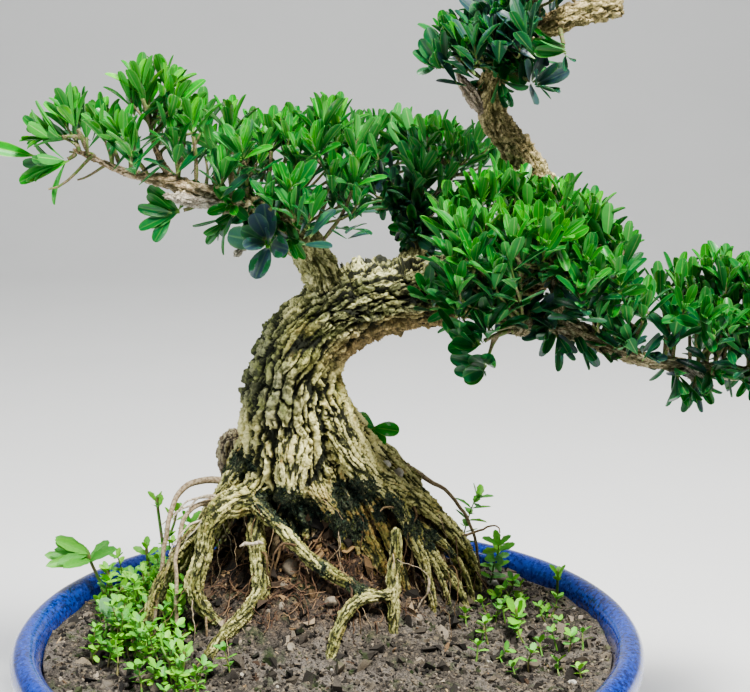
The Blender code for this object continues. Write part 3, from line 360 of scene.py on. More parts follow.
class Finish(Tree):
    """A material, made of a Principled shader and what feeds it."""

    def __init__(self, name, **constants):
        self.material = bpy.data.materials.new(name)
        self.material.use_nodes = True
        super().__init__(self.material.node_tree)
        self.shader = self.tree.nodes["Principled BSDF"]
        for key, value in constants.items():
            self.shader.inputs[key.replace("_", " ")].default_value = value

    def attribute(self, name, output="Fac"):
        return self.add("ShaderNodeAttribute", {"attribute_name": name})[output]

    def place(self):
        """The point on the object, in millimetres."""
        here = self.add("ShaderNodeTexCoord")["Object"]
        return self.vector("SCALE", here, scale=1 / MM)

    def feed(self, name, value):
        self.tree.links.new(value.socket, self.shader.inputs[name])

    def colour(self, value):
        self.feed("Base Color", value)

    def bump(self, height, depth, strength=1.0):
        """Relief of a height, as deep as given in millimetres."""
        inputs = {"Height": height, "Distance": depth * MM, "Strength": strength}
        self.feed("Normal", self.add("ShaderNodeBump", {}, inputs)["Normal"])

    def speckle(self, body, scale, share, dark, low=0.4, high=0.7, detail=4.0, depth=0.3, strength=0.8):
        """A colour with darker spots, and relief where they are."""
        fine = self.noise(self.place(), scale, detail)
        self.colour(self.darken(self.band(fine, low, high) * share, body, dark))
        if strength:
            self.bump(fine, depth, strength)

    def blade(self):
        """Where on a leaf a point is: how far from the rib, 0 to 1, how far along it, and 1 on
        the underside."""
        across = self.parts(self.add("ShaderNodeUVMap", {"uv_map": "UVMap"})["UV"])
        under = across["X"] > 1.5
        return abs(across["X"] - under * 2 - 0.5) * 2, across["Y"], under


class Shape(Tree):
    """A Geometry Nodes tree with named inputs."""

    def __init__(self, name, **inputs):
        group = bpy.data.node_groups.new(name, "GeometryNodeTree")
        super().__init__(group)
        group.interface.new_socket("Geometry", in_out="INPUT", socket_type="NodeSocketGeometry")
        group.interface.new_socket("Geometry", in_out="OUTPUT", socket_type="NodeSocketGeometry")
        self.identifiers = {}
        for key, kind in inputs.items():
            socket = group.interface.new_socket(key, in_out="INPUT", socket_type="NodeSocket" + kind)
            self.identifiers[key] = socket.identifier
        self.input = self.add("NodeGroupInput")
        self.output = self.add("NodeGroupOutput")

    def attribute(self, name, kind="FLOAT"):
        settings = {"data_type": kind}
        return self.add("GeometryNodeInputNamedAttribute", settings, {"Name": name})["Attribute"]

    def store(self, geometry, name, value, kind="FLOAT"):
        settings = {"data_type": kind, "domain": "POINT"}
        inputs = {"Geometry": geometry, "Name": name, "Value": value}
        return self.add("GeometryNodeStoreNamedAttribute", settings, inputs)["Geometry"]

    def jitter(self, place, scale, detail):
        """Noise in three directions about zero."""
        colour = self.noise(place, scale, detail, output="Color")
        return self.vector("SUBTRACT", colour, (0.5, 0.5, 0.5))

    def variants(self):
        """The objects of the collection given as Variants, to pick from."""
        return self.add("GeometryNodeCollectionInfo", {}, {
            "Collection": self.input["Variants"], "Separate Children": True,
            "Reset Children": True})["Instances"]

    def place_variants(self, points, pick, rotation, size):
        return self.add("GeometryNodeInstanceOnPoints", {}, {
            "Points": points, "Instance": self.variants(), "Pick Instance": True,
            "Instance Index": pick, "Rotation": rotation, "Scale": size})["Instances"]

    def displace(self, geometry, offset):
        """Ends the tree with its points moved."""
        inputs = {"Geometry": geometry, "Offset": offset}
        self.finish(self.add("GeometryNodeSetPosition", {}, inputs)["Geometry"])

    def finish(self, geometry):
        """Ends the tree in one plain mesh with the piece's material."""
        real = self.add("GeometryNodeRealizeInstances", {}, {"Geometry": geometry})["Geometry"]
        inputs = {"Geometry": real, "Material": self.input["Material"]}
        done = self.add("GeometryNodeSetMaterial", {}, inputs)["Geometry"]
        self.tree.links.new(done.socket, self.output.node.inputs["Geometry"])

    def run(self, obj, **values):
        """Runs the tree on an object, which then has the result as its own plain mesh."""
        modifier = obj.modifiers.new(self.tree.name, "NODES")
        modifier.node_group = self.tree
        for key, value in values.items():
            modifier[self.identifiers[key]] = value
        apply_modifiers(obj)
        return obj


# Plain objects and meshes


def link(name, data):
    obj = bpy.data.objects.new(name, data)
    bpy.context.scene.collection.objects.link(obj)
    return obj


def new_object(name, points, faces, edges=(), material=None):
    mesh = bpy.data.meshes.new(name)
    mesh.from_pydata([tuple(p) for p in points], list(edges), faces)
    if material:
        mesh.materials.append(material)
    return link(name, mesh)


def mesh_from(bm, name):
    """A mesh with what a bmesh holds. The bmesh is freed."""
    mesh = bpy.data.meshes.new(name)
    bm.to_mesh(mesh)
    bm.free()
    return mesh


def pour(bm, other):
    """Adds what a bmesh holds to another, and frees it."""
    mesh = mesh_from(bm, "poured")
    other.from_mesh(mesh)
    bpy.data.meshes.remove(mesh)


def apply_modifiers(obj):
    graph = bpy.context.evaluated_depsgraph_get()
    graph.update()
    mesh = bpy.data.meshes.new_from_object(
        obj.evaluated_get(graph), preserve_all_data_layers=True, depsgraph=graph)
    old = obj.data
    obj.modifiers.clear()
    obj.data = mesh
    bpy.data.meshes.remove(old)
    mesh.name = obj.name


def set_attribute(mesh, name, values, kind="FLOAT", field="value"):
    attribute = mesh.attributes.get(name) or mesh.attributes.new(name, kind, "POINT")
    attribute.data.foreach_set(field, np.asarray(values, np.float32).ravel())


def read_floats(items, count, name):
    values = np.zeros(count, np.float32)
    items.foreach_get(name, values)
    return values


def get_attribute(mesh, name):
    return read_floats(mesh.attributes[name].data, len(mesh.vertices), "value")


def get_points(mesh):
    return read_floats(mesh.vertices, len(mesh.vertices) * 3, "co").reshape(-1, 3)


def get_normals(mesh):
    return read_floats(mesh.vertices, len(mesh.vertices) * 3, "normal").reshape(-1, 3)


def round_off(obj):
    """One level of subdivision, still to be applied."""
    modifier = obj.modifiers.new("Round", "SUBSURF")
    modifier.levels = 1
    modifier.render_levels = 1


def hand_over(obj, replaced=(), degrees=60):
    """A finished piece: scaled to metres, smooth but for edges sharper than the degrees given,
    riding on the tree, with the CAD parts it replaces hidden."""
    obj.data.transform(Matrix.Scale(MM, 4))
    obj.data.shade_smooth()
    if degrees is not None:
        obj.data.set_sharp_from_angle(angle=math.radians(degrees))
    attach(obj, "root")
    if replaced:
        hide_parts(*replaced)
    return obj


def band(values, low, high):
    """Goes smoothly from 0 to 1 as the values go from low to high."""
    t = np.clip((values - low) / (high - low), 0, 1)
    return t * t * (3 - 2 * t)


# Paths


def smooth_path(points, step):
    """A Catmull-Rom curve through (x, y, z, radius) points, as one row about every step."""
    rows = []
    for i in range(len(points) - 1):
        a, b = points[max(i - 1, 0)], points[i]
        c, d = points[i + 1], points[min(i + 2, len(points) - 1)]
        a, b, c, d = (np.array(p, float) for p in (a, b, c, d))
        count = max(1, round(float(np.linalg.norm(c[:3] - b[:3])) / step))
        for k in range(count):
            t = k / count
            rows.append(0.5 * (2 * b + (c - a) * t + (2 * a - 5 * b + 4 * c - d) * t**2
                               + (3 * b - a - 3 * c + d) * t**3))
    rows.append(np.array(points[-1], float))
    return np.array(rows)


def between(first, second):
    """A slimmer path half way between two."""
    paths = []
    for points in (first, second):
        rows = smooth_path(points, 3.0)
        picks = np.linspace(0, len(rows) - 1, 9)
        paths.append(np.array([np.interp(picks, range(len(rows)), rows[:, k]) for k in range(4)]).T)
    middle = (paths[0] + paths[1]) / 2
    middle[:, 3] *= FILLER_SHARE
    return [tuple(row) for row in middle]


def path_frames(centres):
    """Unit (across, up, along) at each centre, carried along the path without twisting."""
    along = np.gradient(centres, axis=0)
    along /= np.linalg.norm(along, axis=1, keepdims=True)
    across = np.cross(along[0], (0.31, 0.95, 0.05))
    rows = []
    for direction in along:
        across = across - direction * across.dot(direction)
        across /= np.linalg.norm(across)
        rows.append(across)
    across = np.array(rows)
    return across, np.cross(along, across), along


def tube(path, sides):
    """A closed tube round a path of (x, y, z, radius) rows, with rounded ends."""
    across, up, along = path_frames(path[:, :3])
    rings = [(path[0, :3] - along[0] * path[0, 3] * 0.5, path[0, 3] * 0.5, 0)]
    rings += [(row[:3], row[3], i) for i, row in enumerate(path)]
    rings += [(path[-1, :3] + along[-1] * path[-1, 3] * 0.5, path[-1, 3] * 0.6, -1)]
    angles = np.arange(sides) * 2 * math.pi / sides
    circle = np.cos(angles)[:, None], np.sin(angles)[:, None]
    points = np.concatenate([
        centre + (circle[0] * across[i] + circle[1] * up[i]) * radius
        for centre, radius, i in rings])
    faces = []
    for i in range(len(rings) - 1):
        for j in range(sides):
            a, b = i * sides + j, i * sides + (j + 1) % sides
            faces.append((a, b, b + sides, a + sides))
    last = (len(rings) - 1) * sides
    faces.append(tuple(reversed(range(sides))))
    faces.append(tuple(range(last, last + sides)))
    return points, faces


# Wood


def join_tubes(name, limbs):
    points, faces = [], []
    for limb in limbs:
        path = smooth_path(limb, LIMB_STEP)
        more, sides = tube(path, 24)
        first = sum(len(p) for p in points)
        points.append(more)
        faces += [tuple(first + v for v in face) for face in sides]
    return new_object(name, np.concatenate(points), faces)


def remesh(obj, voxel):
    """Melts overlapping tubes into one skin, and softens where they meet."""
    modifier = obj.modifiers.new("Skin", "REMESH")
    modifier.mode = "VOXEL"
    modifier.voxel_size = voxel
    modifier.use_smooth_shade = True
    soften = obj.modifiers.new("Soften", "SMOOTH")
    soften.factor = 0.5
    soften.iterations = 6
    apply_modifiers(obj)


def nearest_rows(points, centres):
    """The number of the nearest centre to each point."""
    nearest = np.empty(len(points), int)
    squares = (centres**2).sum(1)
    for start in range(0, len(points), 20000):
        some = points[start:start + 20000]
        nearest[start:start + 20000] = np.argmin(squares - 2 * some @ centres.T, axis=1)
    return nearest


def straighten(points, limbs):
    """For each point of the skin: its place in its own limb as if that limb were straight, in
    units of the bark's plates; the limb's radius there, and its number."""
    grain = np.zeros((len(points), 3))
    girth = np.ones(len(points))
    owner = np.zeros(len(points), int)
    closest = np.full(len(points), np.inf)
    for number, limb in enumerate(limbs):
        path = smooth_path(limb, LIMB_STEP)
        centres, radii = path[:, :3], path[:, 3]
        across, up, along = path_frames(centres)
        plate = (1.4 + 0.165 * radii) * (1.35 if 0 < number < len(LIMBS) else 1.0)
        steps = np.linalg.norm(np.diff(centres, axis=0), axis=1) / plate[1:]
        run = np.concatenate([[0], np.cumsum(steps)])
        margin = radii.max() + 5
        near = np.all((points > centres.min(0) - margin) & (points < centres.max(0) + margin), axis=1)
        chosen = np.flatnonzero(near)
        some = points[chosen]
        j = nearest_rows(some, centres)
        offset = some - centres[j]
        ahead = (offset * along[j]).sum(1)
        x = (offset * across[j]).sum(1)
        y = (offset * up[j]).sum(1)
        gap = np.sqrt(x * x + y * y) - radii[j]
        beyond = np.abs(ahead) > LIMB_STEP
        gap += np.where(beyond, np.abs(ahead), 0)
        better = gap < closest[chosen]
        chosen, j, ahead = chosen[better], j[better], ahead[better]
        closest[chosen] = gap[better]
        grain[chosen, 0] = x[better] / plate[j] + number * 17
        grain[chosen, 1] = y[better] / plate[j]
        grain[chosen, 2] = run[j] + ahead / plate[j]
        girth[chosen] = radii[j]
        owner[chosen] = number
    return grain, girth, owner


DEAD_LIMBS = ("left_jin", "left_snag", "top_jin", "far_stub", "far_snag")
RUSTY_ROOTS = ("heart_root", "claw_root", "filler_3", "filler_9")


def wood_zones(points, normals, girth, owner, names):
    """Where the wood has blocky plates, flaky bark, lichen, a brown underside, dead wood, calm
    branch bark and moss."""
    x, y, z = points.T
    trunk = owner == names.index("trunk")
    low = 1 - band(z, 258, 278)
    plates = band(z, 172, 192) * (1 - band(x + 0.25 * (z - 200), -22, -5)) * low * trunk
    flaky = band(x + 0.6 * (z - 225), -14, 10) * band(z, 200, 222) * low * trunk
    lichen = (1 - band(z, 240, 275)) * (1 - 0.5 * band(x, 30, 80))
    under = band(-normals[:, 2], 0.1, 0.6) * band(z, 190, 215) * low * trunk
    flaky = flaky * (1 - under * 0.75)
    dead = np.isin(owner, [names.index(name) for name in DEAD_LIMBS])
    stump = owner == names.index("root_stump")
    twiggy = np.isin(owner, [names.index(name) for name in LIMBS if name != "trunk"])
    high = trunk * np.maximum(band(z, 252, 275), band(x, 60, 90))
    calm = np.maximum(twiggy * (0.8 - 0.45 * band(girth, 4.0, 8.0)), high * 0.45)
    flaky = np.maximum(flaky, 0.75 * np.maximum(high, twiggy * band(girth, 2.5, 6.0)))
    rusty = np.isin(owner, [names.index(name) for name in RUSTY_ROOTS]) * (1 - band(z, 140, 165))
    moss = np.zeros(len(points))
    for *centre, radius in MOSS_PATCHES:
        away = np.linalg.norm(points - np.array(centre), axis=1) / radius
        moss = np.maximum(moss, 1 - band(away, 0.5, 1.5))
    return {"plates": plates, "flaky": flaky, "lichen": lichen, "under": under, "dead": dead,
            "stump": stump, "calm": calm, "moss": moss, "rusty": rusty}


def bark_shape():
    """Pushes a skin in and out along its normals: long ridges with thin fissures between them,
    cut across into blocks where the plates zone says so, and split into curls on flaky bark."""
    shape = Shape("bark_relief", Material="Material")
    grain = shape.attribute("grain", "FLOAT_VECTOR")
    girth, plates, flaky, calm, dead = (
        shape.attribute(name) for name in ("girth", "plates", "flaky", "calm", "dead"))
    here = shape.add("GeometryNodeInputPosition")["Position"]
    normal = shape.add("GeometryNodeInputNormal")["Normal"]

    sway = shape.jitter(shape.stretch(grain, 1, 1, 0.4), 0.5, 2.0)
    crinkle = shape.jitter(shape.stretch(grain, 1, 1, 0.6), 2.0, 3.0)
    stout = shape.band(girth, 4.0, 14.0, 0.25, 1.0)
    crinkle = shape.vector("SCALE", shape.stretch(crinkle, 0.6, 0.6, 0.8), scale=stout)
    warped = shape.vector("ADD", grain, shape.stretch(sway, 1.7, 1.7, 2.0))
    warped = shape.vector("ADD", warped, crinkle)

    wide = shape.stretch(warped, 1.1, 1.1, 0.1)
    ridges = shape.cells(wide, 1.0, feature="DISTANCE_TO_EDGE")
    label = shape.parts(shape.cells(wide, 1.0, "Color"))
    strands = shape.cells(shape.stretch(warped, 2.9, 2.9, 0.3), 1.0, feature="DISTANCE_TO_EDGE")
    step = shape.math("FRACT", shape.parts(warped)["Z"] * 0.6 + label["X"] * 7.0)
    cross = 0.5 - abs(step - 0.5)
    block = 1 - plates * (1 - shape.band(cross, 0.0, 0.16))

    curl_place = shape.vector("ADD", warped, shape.stretch(sway, 1.2, 1.2, 2.5))
    curl_place = shape.stretch(curl_place, 1.0, 1.0, 0.36)
    curls = shape.cells(curl_place, 1.0, feature="DISTANCE_TO_EDGE")
    curl_label = shape.parts(shape.cells(curl_place, 1.0, "Color"))
    tilt = shape.vector("SUBTRACT", curl_place, shape.cells(curl_place, 1.0, "Position"))
    tilt = shape.add("ShaderNodeVectorMath", {"operation": "DOT_PRODUCT"},
                     {0: tilt, 1: (0.9, 0.7, 0.8)})["Value"]
    flake = shape.band(curls, 0.0, 0.14)
    curl_height = flake * 0.6 + tilt * 1.25 + (curl_label["X"] - 0.3) * 0.45

    height = shape.band(ridges, 0.0, 0.21 - plates * 0.05) * block + (label["Z"] - 0.5) * plates * 0.5
    level = height * (1 - flaky * 0.7) + (flake + tilt * 0.5) * flaky * 0.7
    height = height * (1 - flaky * 0.7) + curl_height * flaky * 0.9
    strand_height = shape.band(strands, 0.0, 0.2)
    fibres = shape.noise(shape.stretch(warped, 5.5, 5.5, 0.8), 1.0, 3.0)
    lumps = shape.noise(shape.stretch(warped, 0.8, 0.8, 0.4), 1.0, 2.0)
    chips = shape.noise(shape.stretch(warped, 2.4, 2.4, 1.7), 1.0, 3.0)
    depth = shape.math("MINIMUM", girth * 0.17 + 0.45, 3.4) * (1 - calm * 0.1) * (1 + dead * 0.6)
    push = (height - 0.7) * 0.9 + (strand_height - 0.7) * (0.5 - plates * 0.25)
    push = push + (fibres - 0.5) * 0.5 + (lumps - 0.5) * 1.2
    push = push + (chips - 0.5) * (0.6 + flaky * 0.2 + plates * 0.6)
    push = push * depth
    push = push + (shape.noise(here, 0.14, 2.0) - 0.5) * (calm * 0.5 + flaky * 0.25) * girth
    push = push + (shape.noise(here, 0.8, 4.0) - 0.5)
    drift = shape.vector("SCALE", shape.jitter(here, 0.09, 2.0), scale=depth * height * 1.6)
    offset = shape.vector("ADD", shape.vector("SCALE", normal, scale=push), drift)

    cracks = shape.math("MINIMUM", ridges, 1 - plates + cross * 1.3)
    cracks = shape.math("MINIMUM", cracks + flaky * 0.05, curls + (1 - flaky))
    geometry = shape.input["Geometry"]
    for name, value in {
            "level": level * 0.5 + strand_height * 0.25 + chips * 0.25, "cracks": cracks,
            "strands": strands, "shade": label["Y"] * (1 - flaky) + curl_label["Y"] * flaky}.items():
        geometry = shape.store(geometry, name, value)
    shape.displace(shape.store(geometry, "warped", warped, "FLOAT_VECTOR"), offset)
    return shape


# The bark's colours, each from dark to light.
BARK = {
    "cream": ((0.34, 0.31, 0.075), (0.99, 0.91, 0.42)),
    "grey": ((0.07, 0.078, 0.045), (0.34, 0.345, 0.205)),
    "bright": ((0.2, 0.205, 0.055), (0.92, 0.88, 0.44)),
    "pale": ((0.13, 0.085, 0.05), (0.66, 0.53, 0.37)),
    "olive": ((0.055, 0.072, 0.016), (0.24, 0.255, 0.07)),
    "brown": ((0.16, 0.09, 0.035), (0.6, 0.42, 0.2)),
    "stump": ((0.2, 0.14, 0.1), (0.55, 0.42, 0.32)),
    "bone": ((0.25, 0.2, 0.14), (0.85, 0.8, 0.7)),
    "moss": ((0.008, 0.016, 0.011), (0.085, 0.125, 0.065)),
}
LICHEN = ((0.15, 0.19, 0.025), (0.45, 0.5, 0.14))
RUST = (0.5, 0.27, 0.07)
# Near-black painted shade for the fissures.
FISSURE_SHADE = (0.014, 0.016, 0.006)


def bark_finish():
    """Corky bark: cream and ochre ridges, grey-green plates, olive sides that also carry painted
    shade, pale brown branches, a rusty root ball's side and black-green moss. The fissures are
    painted nearly black as shade, the upper trunk and the base get painted shade, and the
    flakes' rims and the crests of the flutes get painted highlights."""
    finish = Finish("corky_bark", Roughness=0.85)
    level, shade, calm, plates, flaky, cracks, girth, moss = (
        finish.attribute(name) for name in (
            "level", "shade", "calm", "plates", "flaky", "cracks", "girth", "moss"))
    here = finish.place()
    aside, height = (finish.parts(here)[axis] for axis in "XZ")
    patches = finish.noise(here, 0.07, 4.0)
    spots = finish.noise(here, 0.5, 5.0)
    grit = finish.noise(here, 1.5, 4.0)
    grain = finish.stretch(finish.attribute("warped", "Vector"), 7.0, 7.0, 1.0)
    fibres = finish.noise(grain, 1.0, 5.0)

    def lay(share, colour, driver, low, high, below):
        return finish.mix(share, below, finish.fade(driver, low, high, *BARK[colour]))

    cream = finish.fade(spots + shade * 0.3, 0.42, 0.8, *BARK["cream"])
    ochre = finish.band(patches, 0.52, 0.66) * finish.band(shade, 0.25, 0.6)
    rusty = finish.band(spots + (fibres - 0.5) * 0.4, 0.38, 0.55)
    ochre = ochre + finish.attribute("rusty") * rusty
    ridge = finish.mix(finish.math("MINIMUM", ochre, 1.0) * 0.85, cream, RUST)
    ridge = lay(plates * 0.85, "grey", spots + shade * 0.35, 0.4, 0.85, ridge)
    ridge = lay(flaky * 0.7, "bright", spots, 0.42, 0.66, ridge)
    gap = cracks + (grit - 0.5) * 0.06
    # Painted highlight: the rims of the flakes are coloured pale cream, as if lit.
    rim_highlight = finish.band(gap, 0.1, 0.15) * (1 - finish.band(gap, 0.2, 0.32))
    ridge = finish.mix(rim_highlight * flaky * 0.55, ridge, (0.92, 0.88, 0.55))
    pale = finish.fade(fibres, 0.35, 0.65, *BARK["pale"])
    pale = finish.mix(finish.band(spots + shade * 0.3, 0.6, 0.85) * 0.7, pale, (0.8, 0.73, 0.6))
    ridge = finish.mix(finish.band(calm, 0.25, 0.75) * 0.85, ridge, pale)
    # Olive on the low parts of the relief: lichen that grows there, and also painted shade on the ridges'
    # sides.
    side = 1 - finish.band(level + (fibres - 0.5) * 0.5, 0.3, 0.68)
    ridge = lay(side * (1 - calm * 0.6) * 0.85, "olive", fibres, 0.3, 0.7, ridge)
    growth = finish.attribute("lichen") * finish.band(patches * 0.5 + spots * 0.5, 0.47, 0.6)
    ridge = finish.mix(growth * (1 - flaky * 0.2) * 0.6, ridge, finish.mix(grit, *LICHEN))
    ridge = lay(finish.attribute("under") * 0.85, "brown", fibres, 0.3, 0.7, ridge)
    ridge = lay(finish.attribute("stump"), "stump", spots, 0.3, 0.7, ridge)
    ridge = lay(finish.attribute("dead") * 0.85, "bone", fibres, 0.3, 0.65, ridge)
    ridge = finish.darken(finish.band(grit, 0.42, 0.7) * 0.45, ridge, (0.46, 0.46, 0.3))

    ridge = finish.darken(finish.band(height, 280.0, 310.0), ridge, (1.0, 0.86, 0.82))
    # Bright cream on the crests of the lower trunk's flutes: their pale colour, with a painted highlight laid
    # over it.
    flute_highlight = finish.band(height, 138.0, 152.0) * (1 - finish.band(height, 182.0, 205.0))
    flute_highlight = flute_highlight * (1 - plates) * finish.band(level, 0.35, 0.65)
    ridge = finish.mix(flute_highlight * finish.band(spots, 0.3, 0.6) * 0.5, ridge, (1.0, 0.92, 0.48))
    # Painted shade: the bark is darkened above about 190 mm, but for the calm branch bark, and below about
    # 150 mm near the soil. The brightest spots and crests are spared, and the right side low down is darkened
    # less.
    painted_shade = finish.band(height, 186.0, 212.0) * (1 - calm) * 0.9
    painted_shade = painted_shade + (1 - finish.band(height, 130.0, 160.0)) * 0.62
    painted_shade = painted_shade * (1 - finish.band(spots + level * 0.25 + shade * 0.2, 0.66, 0.9))
    painted_shade = painted_shade * (1 - finish.band(aside, 25.0, 45.0) * (1 - finish.band(height, 150.0, 180.0)) * 0.5)
    ridge = finish.darken(painted_shade, ridge, (0.36, 0.4, 0.32))

    # Painted shade: the thin fissures between the ridges and strands are coloured nearly black.
    edge = cracks + (grit - 0.5) * 0.08 - finish.band(girth, 6.0, 16.0) * 0.02
    fissure = 1 - finish.band(edge, 0.02, 0.12)
    narrow = 1 - finish.band(finish.attribute("strands"), 0.0, 0.1)
    slim = 1 - finish.band(girth, 4.0, 13.0)
    dark = (fissure * (1 - calm * 0.35) + narrow * (1 - fissure) * 0.5) * (1 - slim * 0.12)
    base = finish.mix(dark, ridge, FISSURE_SHADE)
    growth = moss * 1.5 + (finish.noise(here, 0.42, 6.0) - 0.5) * 1.9 - level * 1.3
    growth = finish.band(growth, 0.0, 0.35) * finish.band(moss, 0.03, 0.3)
    finish.colour(lay(growth * 0.93, "moss", finish.noise(here, 1.1, 4.0), 0.45, 0.7, base))
    finish.feed("Roughness", finish.band(level, 0.3, 0.7, 0.95, 0.72))
    finish.bump(grit * 0.8 + fibres * 1.2, 0.7)
    return finish.material


def make_wood():
    """The trunk, branches and bark-bearing roots, cut into pieces by height."""
    limbs = {**LIMBS, **ROOTS}
    for number, (first, second) in enumerate(ROOT_PAIRS):
        limbs[f"filler_{number}"] = between(ROOTS[first], ROOTS[second])
    wood = join_tubes("wood_skin", limbs.values())
    remesh(wood, WOOD_VOXEL)
    mesh = wood.data
    points, normals = get_points(mesh), get_normals(mesh)
    grain, girth, owner = straighten(points, limbs.values())
    set_attribute(mesh, "grain", grain, "FLOAT_VECTOR", "vector")
    zones = wood_zones(points, normals, girth, owner, list(limbs))
    for name, values in {"girth": girth, **zones}.items():
        set_attribute(mesh, name, values)
    bark_shape().run(wood, Material=bark_finish())
    make_moss(wood)
    for name, low, high in WOOD_PIECES:
        hand_over(link(name, cut_out(wood, low, high)), ["wood"], degrees=None)
    bpy.data.objects.remove(wood)


def cut_out(obj, low, high):
    """The part of a skin between two heights, closed at its cuts."""
    bm = bmesh.new()
    bm.from_mesh(obj.data)
    for height, side in ((low, 1), (high, -1)):
        geom = bm.verts[:] + bm.edges[:] + bm.faces[:]
        cut = bmesh.ops.bisect_plane(
            bm, geom=geom, plane_co=(0, 0, height), plane_no=(0, 0, side), clear_inner=True)
        edges = [item for item in cut["geom_cut"] if isinstance(item, bmesh.types.BMEdge)]
        bmesh.ops.holes_fill(bm, edges=edges, sides=0)
        for edge in edges:
            edge.smooth = False
    mesh = obj.data.copy()
    bm.to_mesh(mesh)
    bm.free()
    return mesh


# Pot


def wall_radius(height):
    """The pot's inner radius at a height."""
    wall = [(94, FLOOR_TOP), (114, 20), (128.5, 40), (135.5, 62), (RIM_RADIUS - LIP_WIDTH, RIM_HEIGHT)]
    heights = [row[1] for row in wall]
    return float(np.interp(height, heights, [row[0] for row in wall]))


def pot_profile():
    """The pot's section as (radius, height), with its lip rolled outwards."""
    outer = [(FOOT_RADIUS - 6, 1.5), (FOOT_RADIUS - 4, 0), (FOOT_RADIUS, 0), (FOOT_RADIUS + 1.5, 2),
             (FOOT_RADIUS + 3, 5), (106, 8.5), (119, 14), (128.5, 23), (136, 34), (140.5, 44),
             (143, 53), (144.2, 57), (146, 59)]
    lip_centre = (RIM_RADIUS - LIP_WIDTH / 2, RIM_HEIGHT - 9.5)
    lip = []
    for step in range(13):
        angle = math.radians(-62 + step * 20)
        lip.append((lip_centre[0] + 7.5 * math.cos(angle), lip_centre[1] + 9.5 * math.sin(angle)))
    inner = [(wall_radius(z), z) for z in (62, 51, 40, 30, 20, 14)]
    floor = [(96, FLOOR_TOP + 1.5), (90, FLOOR_TOP)]
    return [(0, 1.5), *outer, *lip, *inner, *floor, (0, FLOOR_TOP)]


def turned(profile, sides):
    """A solid turned about Z from (radius, height) points that start and end on the axis."""
    points, faces, rings = [], [], []
    for radius, height in profile:
        count = sides if radius else 1
        rings.append([len(points) + k for k in range(count)])
        for k in range(count):
            angle = 2 * math.pi * k / sides
            points.append((radius * math.cos(angle), radius * math.sin(angle), height))
    for low, high in zip(rings, rings[1:]):
        for k in range(sides):
            quad = (low[k % len(low)], low[(k + 1) % len(low)],
                    high[(k + 1) % len(high)], high[k % len(high)])
            faces.append(tuple(dict.fromkeys(quad)))
    return points, faces


def glaze_finish():
    """Cobalt glaze: deep blue that breaks pale over the lip, with specks and a glassy coat."""
    finish = Finish("cobalt_glaze", Roughness=0.3, Coat_Roughness=0.06, Coat_IOR=1.5)
    here = finish.place()
    height = finish.parts(here)["Z"]
    mottle = finish.noise(here, 0.5, 5.0)
    deep = finish.fade(finish.noise(here, 0.035, 4.0), 0.35, 0.65, (0.003, 0.013, 0.12), (0.006, 0.034, 0.26))
    bright = finish.mix(finish.band(mottle, 0.4, 0.62), deep, (0.01, 0.055, 0.4))
    lip = finish.band(height, RIM_HEIGHT - 17, RIM_HEIGHT - 4)
    body = finish.mix(lip * 0.7 + 0.2, deep, bright)
    speck = (1 - finish.band(finish.cells(here, 0.55), 0.12, 0.34)) * finish.band(mottle, 0.45, 0.6)
    body = finish.mix(speck * 0.45, body, (0.16, 0.3, 0.75))
    dirt = finish.band(finish.noise(here, 0.16, 5.0), 0.5, 0.66) * (1 - finish.band(height, 60, 74)) * 0.4
    finish.colour(finish.mix(dirt, body, (0.03, 0.03, 0.03)))
    finish.feed("Roughness", finish.band(mottle, 0.3, 0.7, 0.22, 0.38))
    finish.feed("Coat Weight", 1 - dirt)
    finish.bump(finish.noise(here, 0.22, 3.0) + mottle * 0.15, 0.35, 0.5)
    return finish.material


def make_pot():
    pot = new_object("pot_glazed", *turned(pot_profile(), POT_SIDES), material=glaze_finish())
    for vert in pot.data.vertices:
        sway = 0.45 * noise.noise(vert.co * 0.012) + 0.2 * noise.noise(vert.co * 0.05)
        flat = Vector((vert.co.x, vert.co.y, 0))
        if flat.length > FOOT_RADIUS:
            vert.co -= flat.normalized() * (abs(sway) * 1.5)
    round_off(pot)
    bore = [(0, -FLOOR_TOP), (DRAIN_HOLE_RADIUS, -FLOOR_TOP), (DRAIN_HOLE_RADIUS, 2 * FLOOR_TOP),
            (0, 2 * FLOOR_TOP)]
    drills = []
    for side in (-1, 1):
        drill = new_object(f"drill_{side}", *turned(bore, 32))
        drill.data.transform(Matrix.Translation((side * DRAIN_HOLE_OFFSET, 0, 0)))
        cut = pot.modifiers.new("Bore", "BOOLEAN")
        cut.object = drill
        cut.solver = "EXACT"
        drills.append(drill)
    apply_modifiers(pot)
    for drill in drills:
        bpy.data.objects.remove(drill)
    hand_over(pot, ["pot"], degrees=45)


# Soil


def ground(x, y):
    """Height of the soil: the CAD model's mound, and on it the peat that fills the roots' cage."""
    dx, dy = x - MOUND_CENTRE[0], y - MOUND_CENTRE[1]
    away = math.hypot(dx, dy)
    mound = MOUND_HEIGHT * math.exp(-((away / MOUND_RADIUS) ** MOUND_SHARPNESS) / 2)
    rough = sum(
        height * noise.noise(Vector((x * scale, y * scale, place)))
        for height, scale, place in SOIL_LUMPS)
    inside = math.hypot(
        (x - ROOT_BALL_CENTRE[0]) / ROOT_BALL_RADII[0], (y - ROOT_BALL_CENTRE[1]) / ROOT_BALL_RADII[1])
    ball = ROOT_BALL_HEIGHT * math.exp(-(inside**5) / 2)
    return SOIL_EDGE_HEIGHT + mound + ball * (1 + rough * 0.08) + rough


